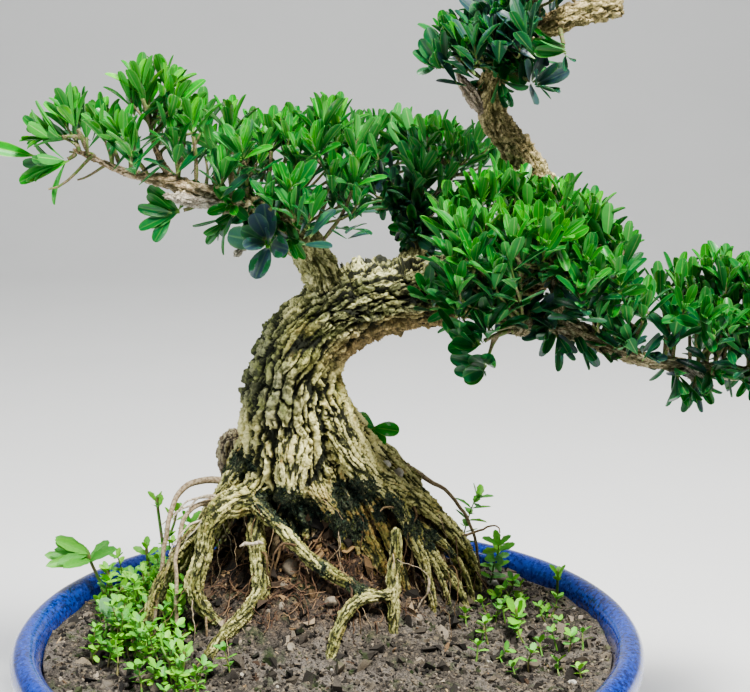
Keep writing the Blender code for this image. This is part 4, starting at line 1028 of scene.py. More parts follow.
def soil_shape():
    """Crumbly relief on the soil's top, coarser on the steep sides of the root ball."""
    shape = Shape("soil_relief", Material="Material")
    here = shape.add("GeometryNodeInputPosition")["Position"]
    top = shape.attribute("top")
    clods = shape.cells(here, 0.16, feature="SMOOTH_F1")
    grit = shape.cells(here, 0.55)
    swell = shape.noise(here, 0.06, 3.0)
    normal = shape.add("GeometryNodeInputNormal")["Normal"]
    steep = 1 - shape.band(shape.parts(normal)["Z"], 0.5, 0.9)
    chunks = shape.cells(here, 0.11, feature="SMOOTH_F1")
    rise = (0.5 - clods) * 2.6 + (0.5 - grit) * 1.1 + (swell - 0.5) * 4.0
    rise = rise + (0.45 - chunks) * 7.0 * steep
    geometry = shape.store(shape.input["Geometry"], "level", rise)
    shape.displace(geometry, shape.vector("SCALE", normal, scale=rise * top))
    return shape


def soil_finish():
    """Damp dark earth with brown and grey grains, red-brown on the old root ball, whose hollows carry painted
    shade, nearly black.
    """
    finish = Finish("damp_soil", Roughness=0.9)
    here = finish.place()
    grains = finish.cells(here, 0.9, output="Color")
    grain = finish.add("ShaderNodeSeparateColor", {}, {"Color": grains})["Red"]
    fine = finish.noise(here, 1.4, 5.0)
    brown = finish.fade(fine, 0.35, 0.7, (0.02, 0.016, 0.012), (0.12, 0.1, 0.08))
    grey = finish.fade(fine, 0.3, 0.7, (0.04, 0.034, 0.028), (0.19, 0.165, 0.138))
    base = finish.fade(finish.noise(here, 0.05, 4.0), 0.42, 0.6, brown, grey)
    base = finish.mix(finish.band(grain, 0.84, 0.95) * 0.6, base, (0.26, 0.2, 0.13))
    peat = finish.fade(fine, 0.35, 0.7, (0.008, 0.005, 0.003), (0.09, 0.047, 0.026))
    tuft = finish.noise(finish.stretch(here, 1, 1, 0.3), 0.35, 4.0)
    peat = finish.mix(finish.band(tuft, 0.5, 0.62) * 0.8, peat, (0.26, 0.155, 0.075))
    # Painted shade: the hollows of the root ball's relief are coloured nearly black.
    peat = finish.mix(1 - finish.band(finish.attribute("level"), -2.5, -0.3), peat, (0.006, 0.004, 0.003))
    base = finish.mix(root_ball_share(finish, here) * 0.9, base, peat)
    algae = finish.band(finish.noise(here, 0.09, 4.0), 0.55, 0.68)
    finish.colour(finish.mix(algae * 0.5, base, (0.03, 0.055, 0.014)))
    finish.feed("Roughness", finish.band(fine, 0.3, 0.7, 0.8, 0.97))
    finish.bump(fine + grain * 0.4, 0.6, 0.9)
    return finish.material


def make_soil():
    """The bed of soil, closed below like a filled bowl."""
    points, faces = [(0.0, 0.0, ground(0, 0))], []
    rings = []
    outer = wall_radius(SOIL_EDGE_HEIGHT) - 0.3
    levels = [(outer * ring / SOIL_RINGS, None) for ring in range(1, SOIL_RINGS + 1)]
    levels += [(wall_radius(height) - 0.3, height) for height in (62, 40, FLOOR_TOP + 3)]
    for radius, height in levels:
        rings.append([len(points) + k for k in range(SOIL_SECTORS)])
        for k in range(SOIL_SECTORS):
            angle = 2 * math.pi * k / SOIL_SECTORS
            x, y = radius * math.cos(angle), radius * math.sin(angle)
            points.append((x, y, ground(x, y) if height is None else height))
    for k in range(SOIL_SECTORS):
        faces.append((0, rings[0][k], rings[0][(k + 1) % SOIL_SECTORS]))
    for inner, outward in zip(rings, rings[1:]):
        for k in range(SOIL_SECTORS):
            n = (k + 1) % SOIL_SECTORS
            faces.append((inner[k], outward[k], outward[n], inner[n]))
    faces.append(tuple(reversed(rings[-1])))
    soil = new_object("soil_bed", points, faces)
    radii = np.linalg.norm(get_points(soil.data)[:, :2], axis=1)
    top = (1 - band(radii, outer - 5, outer)) * (np.arange(len(points)) < rings[-3][0])
    set_attribute(soil.data, "top", top)
    soil_shape().run(soil, Material=soil_finish())
    scatter_on_soil(soil)
    hand_over(soil, ["soil"], degrees=None)


def net_finish():
    """Black plastic net, a little dusty."""
    finish = Finish("drain_net", Roughness=0.6)
    dust = finish.band(finish.noise(finish.place(), 0.4, 4.0), 0.45, 0.7)
    finish.colour(finish.mix(dust * 0.5, (0.012, 0.012, 0.012), (0.07, 0.055, 0.04)))
    finish.bump(finish.noise(finish.place(), 2.0, 2.0), 0.1, 0.4)
    return finish.material


def dress_screens():
    """The two drain screens stay as they are, in black net."""
    material = net_finish()
    for name in ("drain_screen_left", "drain_screen_right"):
        frame["nodes"][name].data.materials.clear()
        frame["nodes"][name].data.materials.append(material)


# Foliage


LEAF_STATIONS = (0.0, 0.08, 0.24, 0.42, 0.6, 0.77, 0.9, 0.975, 1.0)
BOXWOOD_WIDTHS = (0.05, 0.1, 0.28, 0.42, 0.5, 0.48, 0.39, 0.25, 0.12)
WEED_WIDTHS = (0.06, 0.16, 0.38, 0.39, 0.51, 0.37, 0.3, 0.1, 0.02)
LEAF_CROSSINGS = (-1.0, -0.5, 0.0, 0.5, 1.0)
LEAF_UNDERSIDE = 0.022


def leaf_blade(name, widths, cup, bend, fold):
    """One leaf of unit length along Y with its upper side up. The underside is a shallow keel, and
    its texture coordinates lie 2 to the right of the upper side's."""
    points, coordinates = [], []
    for y, half in zip(LEAF_STATIONS, widths):
        for u in LEAF_CROSSINGS:
            rise = cup * (u * half) ** 2 * 4 + fold * abs(u) * half - bend * y * y
            points.append((u * half, y, rise))
            coordinates.append((0.5 + u / 2, y))
    keel = len(points)
    for y, half in zip(LEAF_STATIONS, widths):
        points.append((0, y, -bend * y * y - LEAF_UNDERSIDE))
        coordinates.append((0.5, y))
    across = len(LEAF_CROSSINGS)
    faces, under = [], []
    for i in range(len(LEAF_STATIONS) - 1):
        for j in range(across - 1):
            a = i * across + j
            faces.append((a, a + 1, a + 1 + across, a + across))
        left, right, middle = i * across, i * across + across - 1, keel + i
        under.append((left, left + across, middle + 1, middle))
        under.append((middle, middle + 1, right + across, right))
    last = (len(LEAF_STATIONS) - 1) * across
    under.append((*reversed(range(across)), keel))
    under.append((*range(last, last + across), keel + len(LEAF_STATIONS) - 1))
    leaf = new_object(name, points, faces + under)
    layer = leaf.data.uv_layers.new(name="UVMap")
    for number, face in enumerate(leaf.data.polygons):
        for corner in face.loop_indices:
            u, v = coordinates[leaf.data.loops[corner].vertex_index]
            layer.data[corner].uv = (u + (2 if number >= len(faces) else 0), v)
    return leaf


def group_of(name, objects):
    """A collection of variants, out of the scene."""
    group = bpy.data.collections.new(name)
    for obj in objects:
        bpy.context.scene.collection.objects.unlink(obj)
        group.objects.link(obj)
    return group


def leaf_variants(name, widths):
    """A few leaves, cupped, bent and folded differently."""
    shapes = ((0.035, 0.05, 0.03), (0.06, 0.13, 0.04), (0.02, -0.05, 0.06), (0.045, 0.18, 0.02))
    return group_of(name, [
        leaf_blade(f"{name}_{number}", widths, *shape) for number, shape in enumerate(shapes)])


def remove_variants(group):
    for obj in list(group.objects):
        bpy.data.objects.remove(obj)
    bpy.data.collections.remove(group)


class Leaves:
    """Leaves to be placed: each has its seat, turn, size, age and tint."""

    def __init__(self):
        self.rows = []

    def add(self, seat, direction, up, length, width, age, tint):
        direction = direction.normalized()
        across = direction.cross(up).normalized()
        up = across.cross(direction)
        turn = Matrix((across, direction, up)).transposed().to_euler()
        self.rows.append((seat, turn, (width, length, length), age, tint))

    def make(self, name, variants, material):
        """One piece with every leaf, by way of the leaf tree."""
        seats, turns, sizes, ages, tints = zip(*self.rows)
        obj = new_object(name, seats, [])
        set_attribute(obj.data, "turn", [tuple(turn) for turn in turns], "FLOAT_VECTOR", "vector")
        set_attribute(obj.data, "size", sizes, "FLOAT_VECTOR", "vector")
        picks = [number * 7 % 4 for number in range(len(seats))]
        for key, values in {"age": ages, "tint": tints, "pick": picks}.items():
            set_attribute(obj.data, key, values)
        leaf_tree().run(obj, Material=material, Variants=variants)
        return obj


def leaf_tree():
    """Puts a leaf on every point, turned and sized by the point's attributes."""
    shape = Shape("leaf_seats", Material="Material", Variants="Collection")
    turn = shape.attribute("turn", "FLOAT_VECTOR")
    rotation = shape.add("FunctionNodeEulerToRotation", {}, {"Euler": turn})["Rotation"]
    shape.finish(shape.place_variants(
        shape.input["Geometry"], shape.attribute("pick"), rotation,
        shape.attribute("size", "FLOAT_VECTOR")))
    return shape


def stem_tree():
    """Round stems along a network of edges, as thick as their points say."""
    shape = Shape("stems", Material="Material", Sides="Int")
    radius = shape.attribute("radius")
    curve = shape.add("GeometryNodeMeshToCurve", {}, {"Mesh": shape.input["Geometry"]})["Curve"]
    curve = shape.add(
        "GeometryNodeSetCurveRadius", {}, {"Curve": curve, "Radius": radius})["Curve"]
    ring = shape.add("GeometryNodeCurvePrimitiveCircle", {}, {
        "Resolution": shape.input["Sides"], "Radius": 1.0})
    inputs = {"Curve": curve, "Profile Curve": ring["Curve"], "Fill Caps": True}
    node = shape.add("GeometryNodeCurveToMesh", {}, inputs)
    if "Scale" in node.node.inputs:
        shape.tree.links.new(radius.socket, node.node.inputs["Scale"])
    shape.finish(node["Mesh"])
    return shape


class Stems:
    """Thin round stems to be made, each a list of (point, radius)."""

    def __init__(self):
        self.paths = []

    def add(self, path, tint=0.0):
        self.paths.append((path, tint))

    def make(self, name, material, sides=6):
        points, radii, tints, edges = [], [], [], []
        for path, tint in self.paths:
            first = len(points)
            points += [tuple(point) for point, _ in path]
            radii += [radius for _, radius in path]
            tints += [tint] * len(path)
            edges += [(first + i, first + i + 1) for i in range(len(path) - 1)]
        obj = new_object(name, points, [], edges)
        set_attribute(obj.data, "radius", radii)
        set_attribute(obj.data, "tint", tints)
        stem_tree().run(obj, Material=material, Sides=sides)
        return obj


def read_plant(name):
    """Takes a CAD plant apart: its leaves as (seat, direction, up, length, width), its shoots as
    (tip, axis), and its stems as a mesh with the leaves' seats closed, all in millimetres."""
    bm = bmesh.new()
    bm.from_mesh(frame["nodes"][name].data)
    bmesh.ops.remove_doubles(bm, verts=bm.verts, dist=1e-6)
    bmesh.ops.scale(bm, vec=(1 / MM,) * 3, verts=bm.verts)
    leaves, blades = [], []
    for left in bm.verts:
        if len(left.link_faces) == 3:
            leaf, blade = read_leaf(left)
            leaves.append(leaf)
            blades += blade
    shoots = [read_tip(vert) for vert in bm.verts if is_tip(vert)]
    bmesh.ops.delete(bm, geom=blades, context="VERTS")
    bmesh.ops.holes_fill(bm, edges=[edge for edge in bm.edges if edge.is_boundary], sides=4)
    return leaves, shoots, bm


def read_leaf(left):
    """A blade's corners, found from the left end of its tip, where just three faces meet."""
    for face in left.link_faces:
        verts = list(face.verts)
        start = verts.index(left)
        below, above = verts[(start + 1) % 3], verts[(start + 2) % 3]
        if len(below.link_edges) == 5 and len(above.link_edges) == 6:
            d, a = below, above
    right = next(v for v in neighbours(left) if v not in (a, d))
    b = next(v for v in neighbours(right) if v not in (left, a, d) and v in neighbours(a))
    c = next(v for v in neighbours(right) if v not in (left, a, d, b))
    blade = [left, right, a, b, c, d]
    roots = {v for corner in (a, b, c, d) for v in neighbours(corner) if v not in blade}
    seat = sum((v.co for v in roots), Vector()) / len(roots)
    tip = (left.co + right.co) / 2
    width = (b.co - a.co).length
    return (seat, tip - seat, d.co - a.co, (tip - seat).length, width), blade


def neighbours(vert):
    return [edge.other_vert(vert) for edge in vert.link_edges]


def is_tip(vert):
    """A bud's point: it has four edges, all as long as each other."""
    lengths = [edge.calc_length() for edge in vert.link_edges]
    return len(lengths) == 4 and max(lengths) < 1.03 * min(lengths) and max(lengths) < 2.5


def read_tip(vert):
    ring = sum((v.co for v in neighbours(vert)), Vector()) / 4
    return vert.co.copy(), (vert.co - ring).normalized()


# Each pad of foliage: how many shoots are added to the CAD model's, how young it looks, how far
# an added shoot stands from one of the CAD model's, the limbs that it may stand on, and the range
# of x and z that its tip stays in.
PADS = {
    "left": (60, 0.95, 13, ("left_branch", "left_fork"), (-122, 30), (285, 350)),
    "back": (36, 0.7, 14, ("back_branch", "back_fork"), (0, 85), (270, 320)),
    "heart": (84, 0.85, 14, ("right_branch", "knob", "heart_fork"), (40, 138), (215, 300)),
    "far": (48, 0.75, 13, ("right_branch",), (154, 240), (215, 260)),
    "peak": (24, 0.25, 13, ("trunk",), (60, 95), (354, 386)),
    "crown": (12, 0.45, 9, ("crown_leader", "trunk"), (56, 105), (380, 402)),
}
MIXED_PADS = ("peak", "crown")
# What sets a CAD spray apart: how young it looks, how broad its leaves are for their length, how
# far they are lifted, which way they are turned, whether they droop, and the directions of a fan.
SPRAYS = {
    "spray_left_rosette": {"age": 0.0, "broad": 1.5, "droops": True},
    "spray_left_under": {"age": 0.85, "broad": 1.0, "droops": True, "fan": (
        (-1.0, 0, 0.75), (-1.0, -0.1, 0.15), (-0.9, -0.2, -0.35), (-0.4, -0.3, -0.6),
        (0.4, 0.2, 0.6))},
    "spray_heart_drop": {"age": 0.8, "broad": 1.2, "droops": True, "turn": (-0.5, -0.3, 0.9)},
    "spray_left_end": {"lift": 1.2},
    "spray_left_tip": {"lift": 2},
    "spray_peak_low": {"age": 0.1, "lift": 2.5},
    "spray_peak_west": {"age": 0.75, "lift": 3.5},
    "spray_peak_side": {"age": 0.7, "turn": (-3.0, -0.4, 0.8)},
}
MIXED_AGES = (0.02, 0.05, 0.1, 0.16, 0.35, 0.85)
# Old blue-green shoots that hide the branches: how many in a pad, their range of x and least z.
OLD_SHOOTS = {"left": (8, (-46, -14), 0), "back": (18, (20, 46), 0), "heart": (15, (84, 148), 0),
              "far": (9, (152, 216), 0), "peak": (12, (74, 96), 338)}
ROOT_LEAF_DIRECTIONS = ((-0.35, -0.5, 0.35), (1.0, -0.6, 0.1), (0.35, -0.6, -0.55))
LEFT_END_LEAVES = (((-127, -24, 309), (-148, -27, 314)), ((-112, -24, 307), (-134, -28, 299)))
# The pairs of leaves on a shoot: how far below its tip, how far they lean out in degrees, and size.
SHOOT_RINGS = ((0.3, 9, 0.5), (1.4, 18, 0.8), (4.2, 27, 1.0), (8.2, 38, 1.0), (12.8, 51, 0.95),
               (18.0, 66, 0.85))
LEAF_LENGTH = 17.0
LEAF_WIDTH = 5.6
UPRIGHT = 0.3
SHOOT_SPACING = 7.3
WOOD_CLEARANCE = 7
BOX_MARGIN = 14
TIP_LEAF = (9.5, 3.6)
BUDS = 12


def random_axis(draw, axis, spread):
    jitter = Vector((draw.gauss(0, 1), draw.gauss(0, 1), draw.gauss(0, 1))) * spread
    return (axis + jitter).normalized()


def bezier(a, b, c, d, count):
    rows = []
    for i in range(count + 1):
        t = i / count
        s = 1 - t
        rows.append(a * s**3 + b * (3 * s * s * t) + c * (3 * s * t * t) + d * t**3)
    return rows


def add_shoot(draw, leaves, stems, rows, anchor, tip, axis, youth, size=1.0, hanging=False):
    """A shoot from its anchor on the wood to its tip, with pairs of leaves that cross. Only a
    hanging one has leaves below the limb."""
    reach = (tip - anchor).length
    start = anchor + Vector((0, 0, 1)) * reach * 0.3
    path = bezier(anchor, start, tip - axis * reach * 0.4, tip, 7)
    stems.add([(point, 0.95 - 0.5 * i / 7) for i, point in enumerate(path)], draw.random())
    across = axis.orthogonal().normalized()
    across.rotate(Matrix.Rotation(draw.uniform(0, math.pi), 3, axis))
    for number, (below, lean, share) in enumerate(SHOOT_RINGS):
        outward = across if number % 2 else axis.cross(across)
        for side in (-1, 1):
            if number > 2 and draw.random() < 0.2:
                continue
            angle = math.radians(lean + draw.uniform(-9, 9))
            out = random_axis(draw, outward * side, 0.22)
            direction = axis * math.cos(angle) + out * math.sin(angle)
            up = axis * math.sin(angle) - out * math.cos(angle)
            scale = share * size * draw.uniform(0.86, 1.12)
            age = youth * (1.0 - 0.13 * number) + draw.uniform(-0.12, 0.12)
            seat = tip - axis * below + out * 0.4
            end = seat + direction * LEAF_LENGTH * scale
            limb = rows[np.argmin(np.hypot(rows[:, 0] - end.x, rows[:, 1] - end.y))]
            if not hanging and min(seat.z, end.z) < limb[2] + 1:
                continue
            width = LEAF_WIDTH * draw.uniform(0.88, 1.12)
            leaves.add(seat, direction, up, LEAF_LENGTH * scale, width * scale, age, draw.random())


def limb_rows(names):
    """Points along limbs, as (x, y, z, radius)."""
    return np.concatenate([smooth_path(LIMBS[name], 4.0) for name in names])


def age_and_shade_by_height(leaves):
    """Leaves lower in a pad are older and darker than those at its top: partly their age, partly painted
    shade under the pad.
    """
    heights = [row[0].z for row in leaves.rows]
    low, high = min(heights), max(heights)
    rows = []
    for seat, turn, size, age, tint in leaves.rows:
        share = (seat.z - low) / (high - low)
        rows.append((seat, turn, size, max(0.0, min(1.0, age * (0.35 + 0.78 * share))), tint))
    leaves.rows = rows


def make_pad(pad, variants, leaf_material, twig_material):
    """One pad: the CAD sprays' leaves in fine form, and more shoots among them."""
    youth, limbs = PADS[pad][1], PADS[pad][3]
    draw = random.Random(pad)
    nodes = [name for name in frame["nodes"] if name.startswith(f"spray_{pad}_")]
    leaves, stems, twigs, tips = Leaves(), Stems(), bmesh.new(), []
    for name in sorted(nodes):
        tips += refine_spray(draw, name, pad, leaves, twigs)
    for tip, axis in tips:
        for side in (-1, 1):
            out = axis.orthogonal() * side
            leaves.add(tip, axis + out * 0.25, axis * 0.25 - out, *TIP_LEAF, youth * 1.05, draw.random())
    if pad == "left":
        for seat, tip in LEFT_END_LEAVES:
            seat, tip = Vector(seat), Vector(tip)
            leaves.add(seat, tip - seat, Vector((0, -1, 0.5)), (tip - seat).length, 6.6, 1.0, 0.5)
    rows = limb_rows(limbs)
    add_shoots(draw, leaves, stems, rows, tips, pad)
    # Lower leaves get older, darker colours: real ageing, and painted shade under the pad.
    age_and_shade_by_height(leaves)
    add_old_shoots(draw, leaves, stems, rows, pad)
    hand_over(leaves.make(f"leaves_{pad}", variants, leaf_material), nodes)
    make_stalks(f"twigs_{pad}", twigs, stems, twig_material, rounded=True)


def refine_spray(draw, name, pad, leaves, twigs):
    """Adds a CAD spray's leaves in their fine form, and gives its shoots, but for a drooping
    spray's."""
    plant_leaves, shoots, bm = read_plant(name)
    apart = SPRAYS.get(name, {})
    droops = apart.get("droops", False)
    broad = apart.get("broad", 1.02 if pad == "peak" else 0.82)
    own = apart.get("age", draw.choice(MIXED_AGES) if pad in MIXED_PADS else PADS[pad][1])
    for number, (seat, direction, up, length, width) in enumerate(plant_leaves):
        age = own if droops else own * draw.uniform(0.6, 1.1)
        if droops:
            up = up.normalized() + Vector((0, -1.6, 0.3))
        if "fan" in apart:
            direction = Vector(apart["fan"][number % len(apart["fan"])])
        elif "turn" in apart:
            direction = direction.normalized() + Vector(apart["turn"])
        elif not droops:
            direction = direction.normalized() + Vector((0, 0, UPRIGHT * apart.get("lift", 1)))
        leaves.add(seat, direction, up, length, width * broad, age, draw.random())
    if name == "spray_left_rosette":
        centre = sum((row[0] for row in plant_leaves), Vector()) / len(plant_leaves)
        for _ in range(BUDS):
            bud = random_axis(draw, Vector((0, -0.9, 0.2)), 0.45)
            leaves.add(centre + Vector((0, -4.5, 0)), bud, Vector((0, 0, 1)), draw.uniform(2, 3.6),
                       1.7, 3.0, draw.random())
    pour(bm, twigs)
    return [] if droops else shoots


def add_shoots(draw, leaves, stems, rows, tips, pad):
    """More shoots beside the CAD model's: apart from each other, clear of the wood, and inside
    the pad's range and the model's box."""
    count, youth, reach, _, x_range, z_range = PADS[pad]
    lowest, highest = (Vector(corner) / MM for corner in CAD_BOX)
    placed = [tip for tip, _ in tips]
    for _ in range(count * 30):
        if len(placed) >= len(tips) + count:
            break
        tip, axis = draw.choice(tips)
        axis = random_axis(draw, axis + Vector((0, 0, 0.4)), 0.2)
        aside = random_axis(draw, Vector(), 1.0)
        aside = (aside - axis * aside.dot(axis)).normalized()
        end = tip + aside * draw.uniform(0.5, 1.0) * reach - axis * draw.uniform(-1, 12)
        inside = all(low + BOX_MARGIN < value < high - BOX_MARGIN
                     for low, value, high in zip(lowest, end, highest))
        inside &= x_range[0] < end.x < x_range[1] and z_range[0] < end.z < z_range[1]
        if not inside or min((end - other).length for other in placed) < SHOOT_SPACING:
            continue
        away = np.linalg.norm(rows[:, :3] - np.array(end), axis=1) - rows[:, 3]
        if away.min() < WOOD_CLEARANCE:
            continue
        base = np.linalg.norm(rows[:, :3] - np.array(end - axis * 14), axis=1)
        anchor = Vector(rows[int(np.argmin(base)), :3])
        own = draw.choice(MIXED_AGES) if pad in MIXED_PADS else youth
        size = draw.uniform(0.8, 1.05) * (1.15 if pad == "peak" else 1.0)
        add_shoot(draw, leaves, stems, rows, anchor, end, axis, own, size)
        placed.append(end)


def add_old_shoots(draw, leaves, stems, rows, pad):
    """Short shoots of old leaves round the front and the underside of a limb."""
    count, (low, high), least = OLD_SHOOTS.get(pad, (0, (0, 0), 0))
    seats = rows[(rows[:, 0] > low) & (rows[:, 0] < high) & (rows[:, 2] > least)]
    for number in range(count):
        anchor = Vector(seats[int((number + draw.random()) / count * len(seats)), :3])
        axis = random_axis(draw, Vector((0.15, -0.75, draw.uniform(-0.45, 0.6))), 0.3)
        tip = anchor + axis * draw.uniform(8, 13)
        youth = draw.choice((0.05, 0.1, 0.2, 0.45)) + (0.25 if pad == "left" else 0)
        add_shoot(draw, leaves, stems, rows, anchor, tip, axis, youth, 0.9, hanging=True)


def make_stalks(name, cad_stems, stems, material, rounded=False):
    """The CAD model's stems together with the added ones."""
    stalks = link(name, mesh_from(cad_stems, name))
    stalks.data.materials.append(material)
    if rounded:
        round_off(stalks)
        apply_modifiers(stalks)
    if stems.paths:
        join_into(stalks, stems.make(f"{name}_added", material))
    hand_over(stalks)


def join_into(obj, other):
    """Adds another object's mesh to obj's, and removes the other object."""
    bm = bmesh.new()
    bm.from_mesh(obj.data)
    bm.from_mesh(other.data)
    bm.to_mesh(obj.data)
    bm.free()
    bpy.data.objects.remove(other)


def leaf_finish():
    """Boxwood leaves: bright and pale-edged when new, dark blue-green and glossier when old."""
    finish = Finish(
        "boxwood_leaf", Coat_Roughness=0.3, Specular_IOR_Level=0.2, Subsurface_Weight=0.12,
        Subsurface_Radius=(0.4, 1.0, 0.15), Subsurface_Scale=0.0012)
    off_rib, along, under = finish.blade()
    age = finish.attribute("age") + (finish.noise(finish.place(), 0.35, 2.0) - 0.5) * 0.3
    top = finish.ramp(
        age, (0.0, (0.022, 0.045, 0.07)), (0.12, (0.012, 0.05, 0.046)), (0.25, (0.003, 0.058, 0.022)),
        (0.5, (0.002, 0.13, 0.014)), (0.8, (0.014, 0.27, 0.014)), (1.0, (0.09, 0.46, 0.018)))
    tint = finish.attribute("tint")
    top = finish.mix(finish.band(tint, 0.55, 1.0) * 0.35, top, (0.03, 0.19, 0.005))
    place = finish.add("ShaderNodeUVMap", {"uv_map": "UVMap"})["UV"]
    veins = finish.noise(finish.stretch(place, 3, 26, 1), 1.0, 2.0)
    top = finish.darken(finish.band(veins, 0.4, 0.7) * 0.25, top, (0.6, 0.75, 0.5))
    rib = 1 - finish.band(off_rib, 0.03, 0.14)
    edge = finish.band(off_rib, 0.82, 0.98)
    young = finish.band(age, 0.3, 0.8)
    top = finish.mix((rib * 0.35 + edge * 0.45) * (young * 0.7 + 0.3), top, (0.3, 0.55, 0.12))
    stalk = 1 - finish.band(along, 0.02, 0.16)
    top = finish.mix(stalk * 0.6, top, (0.3, 0.42, 0.1))
    below = finish.mix(age, (0.015, 0.1, 0.045), (0.07, 0.36, 0.05))
    below = finish.mix(rib * 0.5, below, (0.3, 0.5, 0.16))
    finish.colour(finish.mix(under, top, below))
    finish.feed("Roughness", finish.band(veins, 0.3, 0.7, 0.36, 0.46) + under * 0.25)
    finish.feed("Coat Weight", (1 - under) * ((1 - young) * 0.7 + 0.1))
    finish.bump(veins * 0.4 - rib * 0.8, 0.12, 0.6)
    return finish.material


def twig_finish():
    """Young green stems that turn to pale brown bark."""
    finish = Finish("twig_bark", Roughness=0.7)
    here = finish.place()
    rings = finish.noise(finish.stretch(here, 0.6, 0.6, 0.25), 1.0, 4.0)
    fine = finish.noise(here, 1.5, 3.0)
    brown = finish.fade(fine, 0.35, 0.65, (0.1, 0.07, 0.035), (0.3, 0.24, 0.14))
    finish.colour(finish.fade(rings, 0.42, 0.6, brown, (0.1, 0.17, 0.03)))
    finish.bump(fine, 0.15, 0.6)
    return finish.material


def make_foliage():
    variants = leaf_variants("boxwood", BOXWOOD_WIDTHS)
    leaf_material, twig_material = leaf_finish(), twig_finish()
    for pad in PADS:
        make_pad(pad, variants, leaf_material, twig_material)
    make_root_leaf(variants, leaf_material, twig_material)
    remove_variants(variants)


def make_root_leaf(variants, leaf_material, twig_material):
    """The few young leaves that sprout from the hump root."""
    leaves = Leaves()
    plant_leaves, _, stem = read_plant("spray_root_leaf")
    for number, (seat, _, _, length, width) in enumerate(plant_leaves):
        direction = Vector(ROOT_LEAF_DIRECTIONS[number % 3])
        leaves.add(seat, direction, Vector((-0.2, -1, 0.7)), length * 0.9, width * 1.35, 0.74, number / 4)
    piece = leaves.make("leaves_root", variants, leaf_material)
    hand_over(piece, ["spray_root_leaf"])
    make_stalks("twigs_root", stem, Stems(), twig_material, rounded=True)


# Small things in great number


def scatter_tree():
    """Puts the variants on a surface, as thickly as its density attribute says, each turned by up
    to Turn about its axes."""
    shape = Shape(
        "scatter", Material="Material", Variants="Collection", Density="Float", Seed="Int",
        Smallest="Float", Largest="Float", Turn="Vector")

    def chance(kind, low, high, seed, output):
        """A value between two for each copy. A kind's sockets have numbers of their own."""
        first = {"FLOAT_VECTOR": 0, "FLOAT": 2, "INT": 4}[kind]
        inputs = {first: low, first + 1: high, 8: seed}
        return shape.add("FunctionNodeRandomValue", {"data_type": kind}, inputs)[output]

    seed, turn, smallest = (shape.input[key] for key in ("Seed", "Turn", "Smallest"))
    points = shape.add("GeometryNodeDistributePointsOnFaces", {"distribute_method": "RANDOM"}, {
        "Mesh": shape.input["Geometry"], "Seed": seed,
        "Density": shape.attribute("density") * shape.input["Density"]})
    dice = chance("FLOAT", 0.0, 1.0, seed, 1)
    size = smallest + dice * dice * dice * (shape.input["Largest"] - smallest)
    angles = chance("FLOAT_VECTOR", shape.vector("SCALE", turn, scale=-1.0), turn, seed, 0)
    spin = shape.add("FunctionNodeEulerToRotation", {}, {"Euler": angles})["Rotation"]
    rotation = shape.add("FunctionNodeRotateRotation", {"rotation_space": "LOCAL"}, {
        "Rotation": points["Rotation"], "Rotate By": spin})["Rotation"]
    copies = shape.place_variants(points["Points"], chance("INT", 0, 1000, seed, 2), rotation, size)
    settings = {"data_type": "FLOAT", "domain": "INSTANCE"}
    shape.finish(shape.add("GeometryNodeStoreNamedAttribute", settings, {
        "Geometry": copies, "Name": "tint", "Value": chance("FLOAT", 0.0, 1.0, 77, 1)})["Geometry"])
    return shape


def stones(name, count, subdivisions, flatness, roughness):
    """Knobbly lumps of unit radius."""
    draw = random.Random(name)
    objects = []
    for number in range(count):
        bm = bmesh.new()
        bmesh.ops.create_icosphere(bm, subdivisions=subdivisions, radius=1.0)
        shift = Vector((draw.uniform(-9, 9), draw.uniform(-9, 9), draw.uniform(-9, 9)))
        stretch = draw.uniform(0.75, 1.25)
        for vert in bm.verts:
            vert.co *= 1 + roughness * noise.noise(vert.co * 1.3 + shift)
            vert.co.x *= stretch
            vert.co.z *= flatness
        objects.append(link(f"{name}_{number}", mesh_from(bm, name)))
    return group_of(name, objects)


def grain_variants(name, count):
    """Angular grains with eight sides, of about unit radius."""
    draw = random.Random(name)
    objects = []
    for number in range(count):
        points = []
        for axis in range(3):
            for side in (-1, 1):
                point = [draw.uniform(-0.35, 0.35) for _ in range(3)]
                point[axis] = side * draw.uniform(0.65, 1.15)
                points.append(point)
        faces = [(x, z, y) if (x + y + z) % 2 == 0 else (x, y, z)
                 for x in (0, 1) for y in (2, 3) for z in (4, 5)]
        objects.append(new_object(f"{name}_{number}", points, faces))
    return group_of(name, objects)


def splinters(name, count):
    """Flat chips of bark, of unit length."""
    draw = random.Random(name)
    objects = []
    for number in range(count):
        half = draw.uniform(0.14, 0.28)
        outline = [(-0.5, -half * 0.6), (0.1, -half), (0.5, -half * 0.3), (0.45, half * 0.6),
                   (-0.2, half), (-0.52, half * 0.2)]
        outline = [(x + draw.uniform(-0.05, 0.05), y + draw.uniform(-0.04, 0.04)) for x, y in outline]
        bend = draw.uniform(0.0, 0.4)
        points = [(x, y, bend * x * x - z) for z in (0.0, 0.09) for x, y in outline]
        top = tuple(range(6))
        under = tuple(reversed(range(6, 12)))
        sides = [(k, k + 6, (k + 1) % 6 + 6, (k + 1) % 6) for k in range(6)]
        objects.append(new_object(f"{name}_{number}", points, [top, under, *sides]))
    return group_of(name, objects)


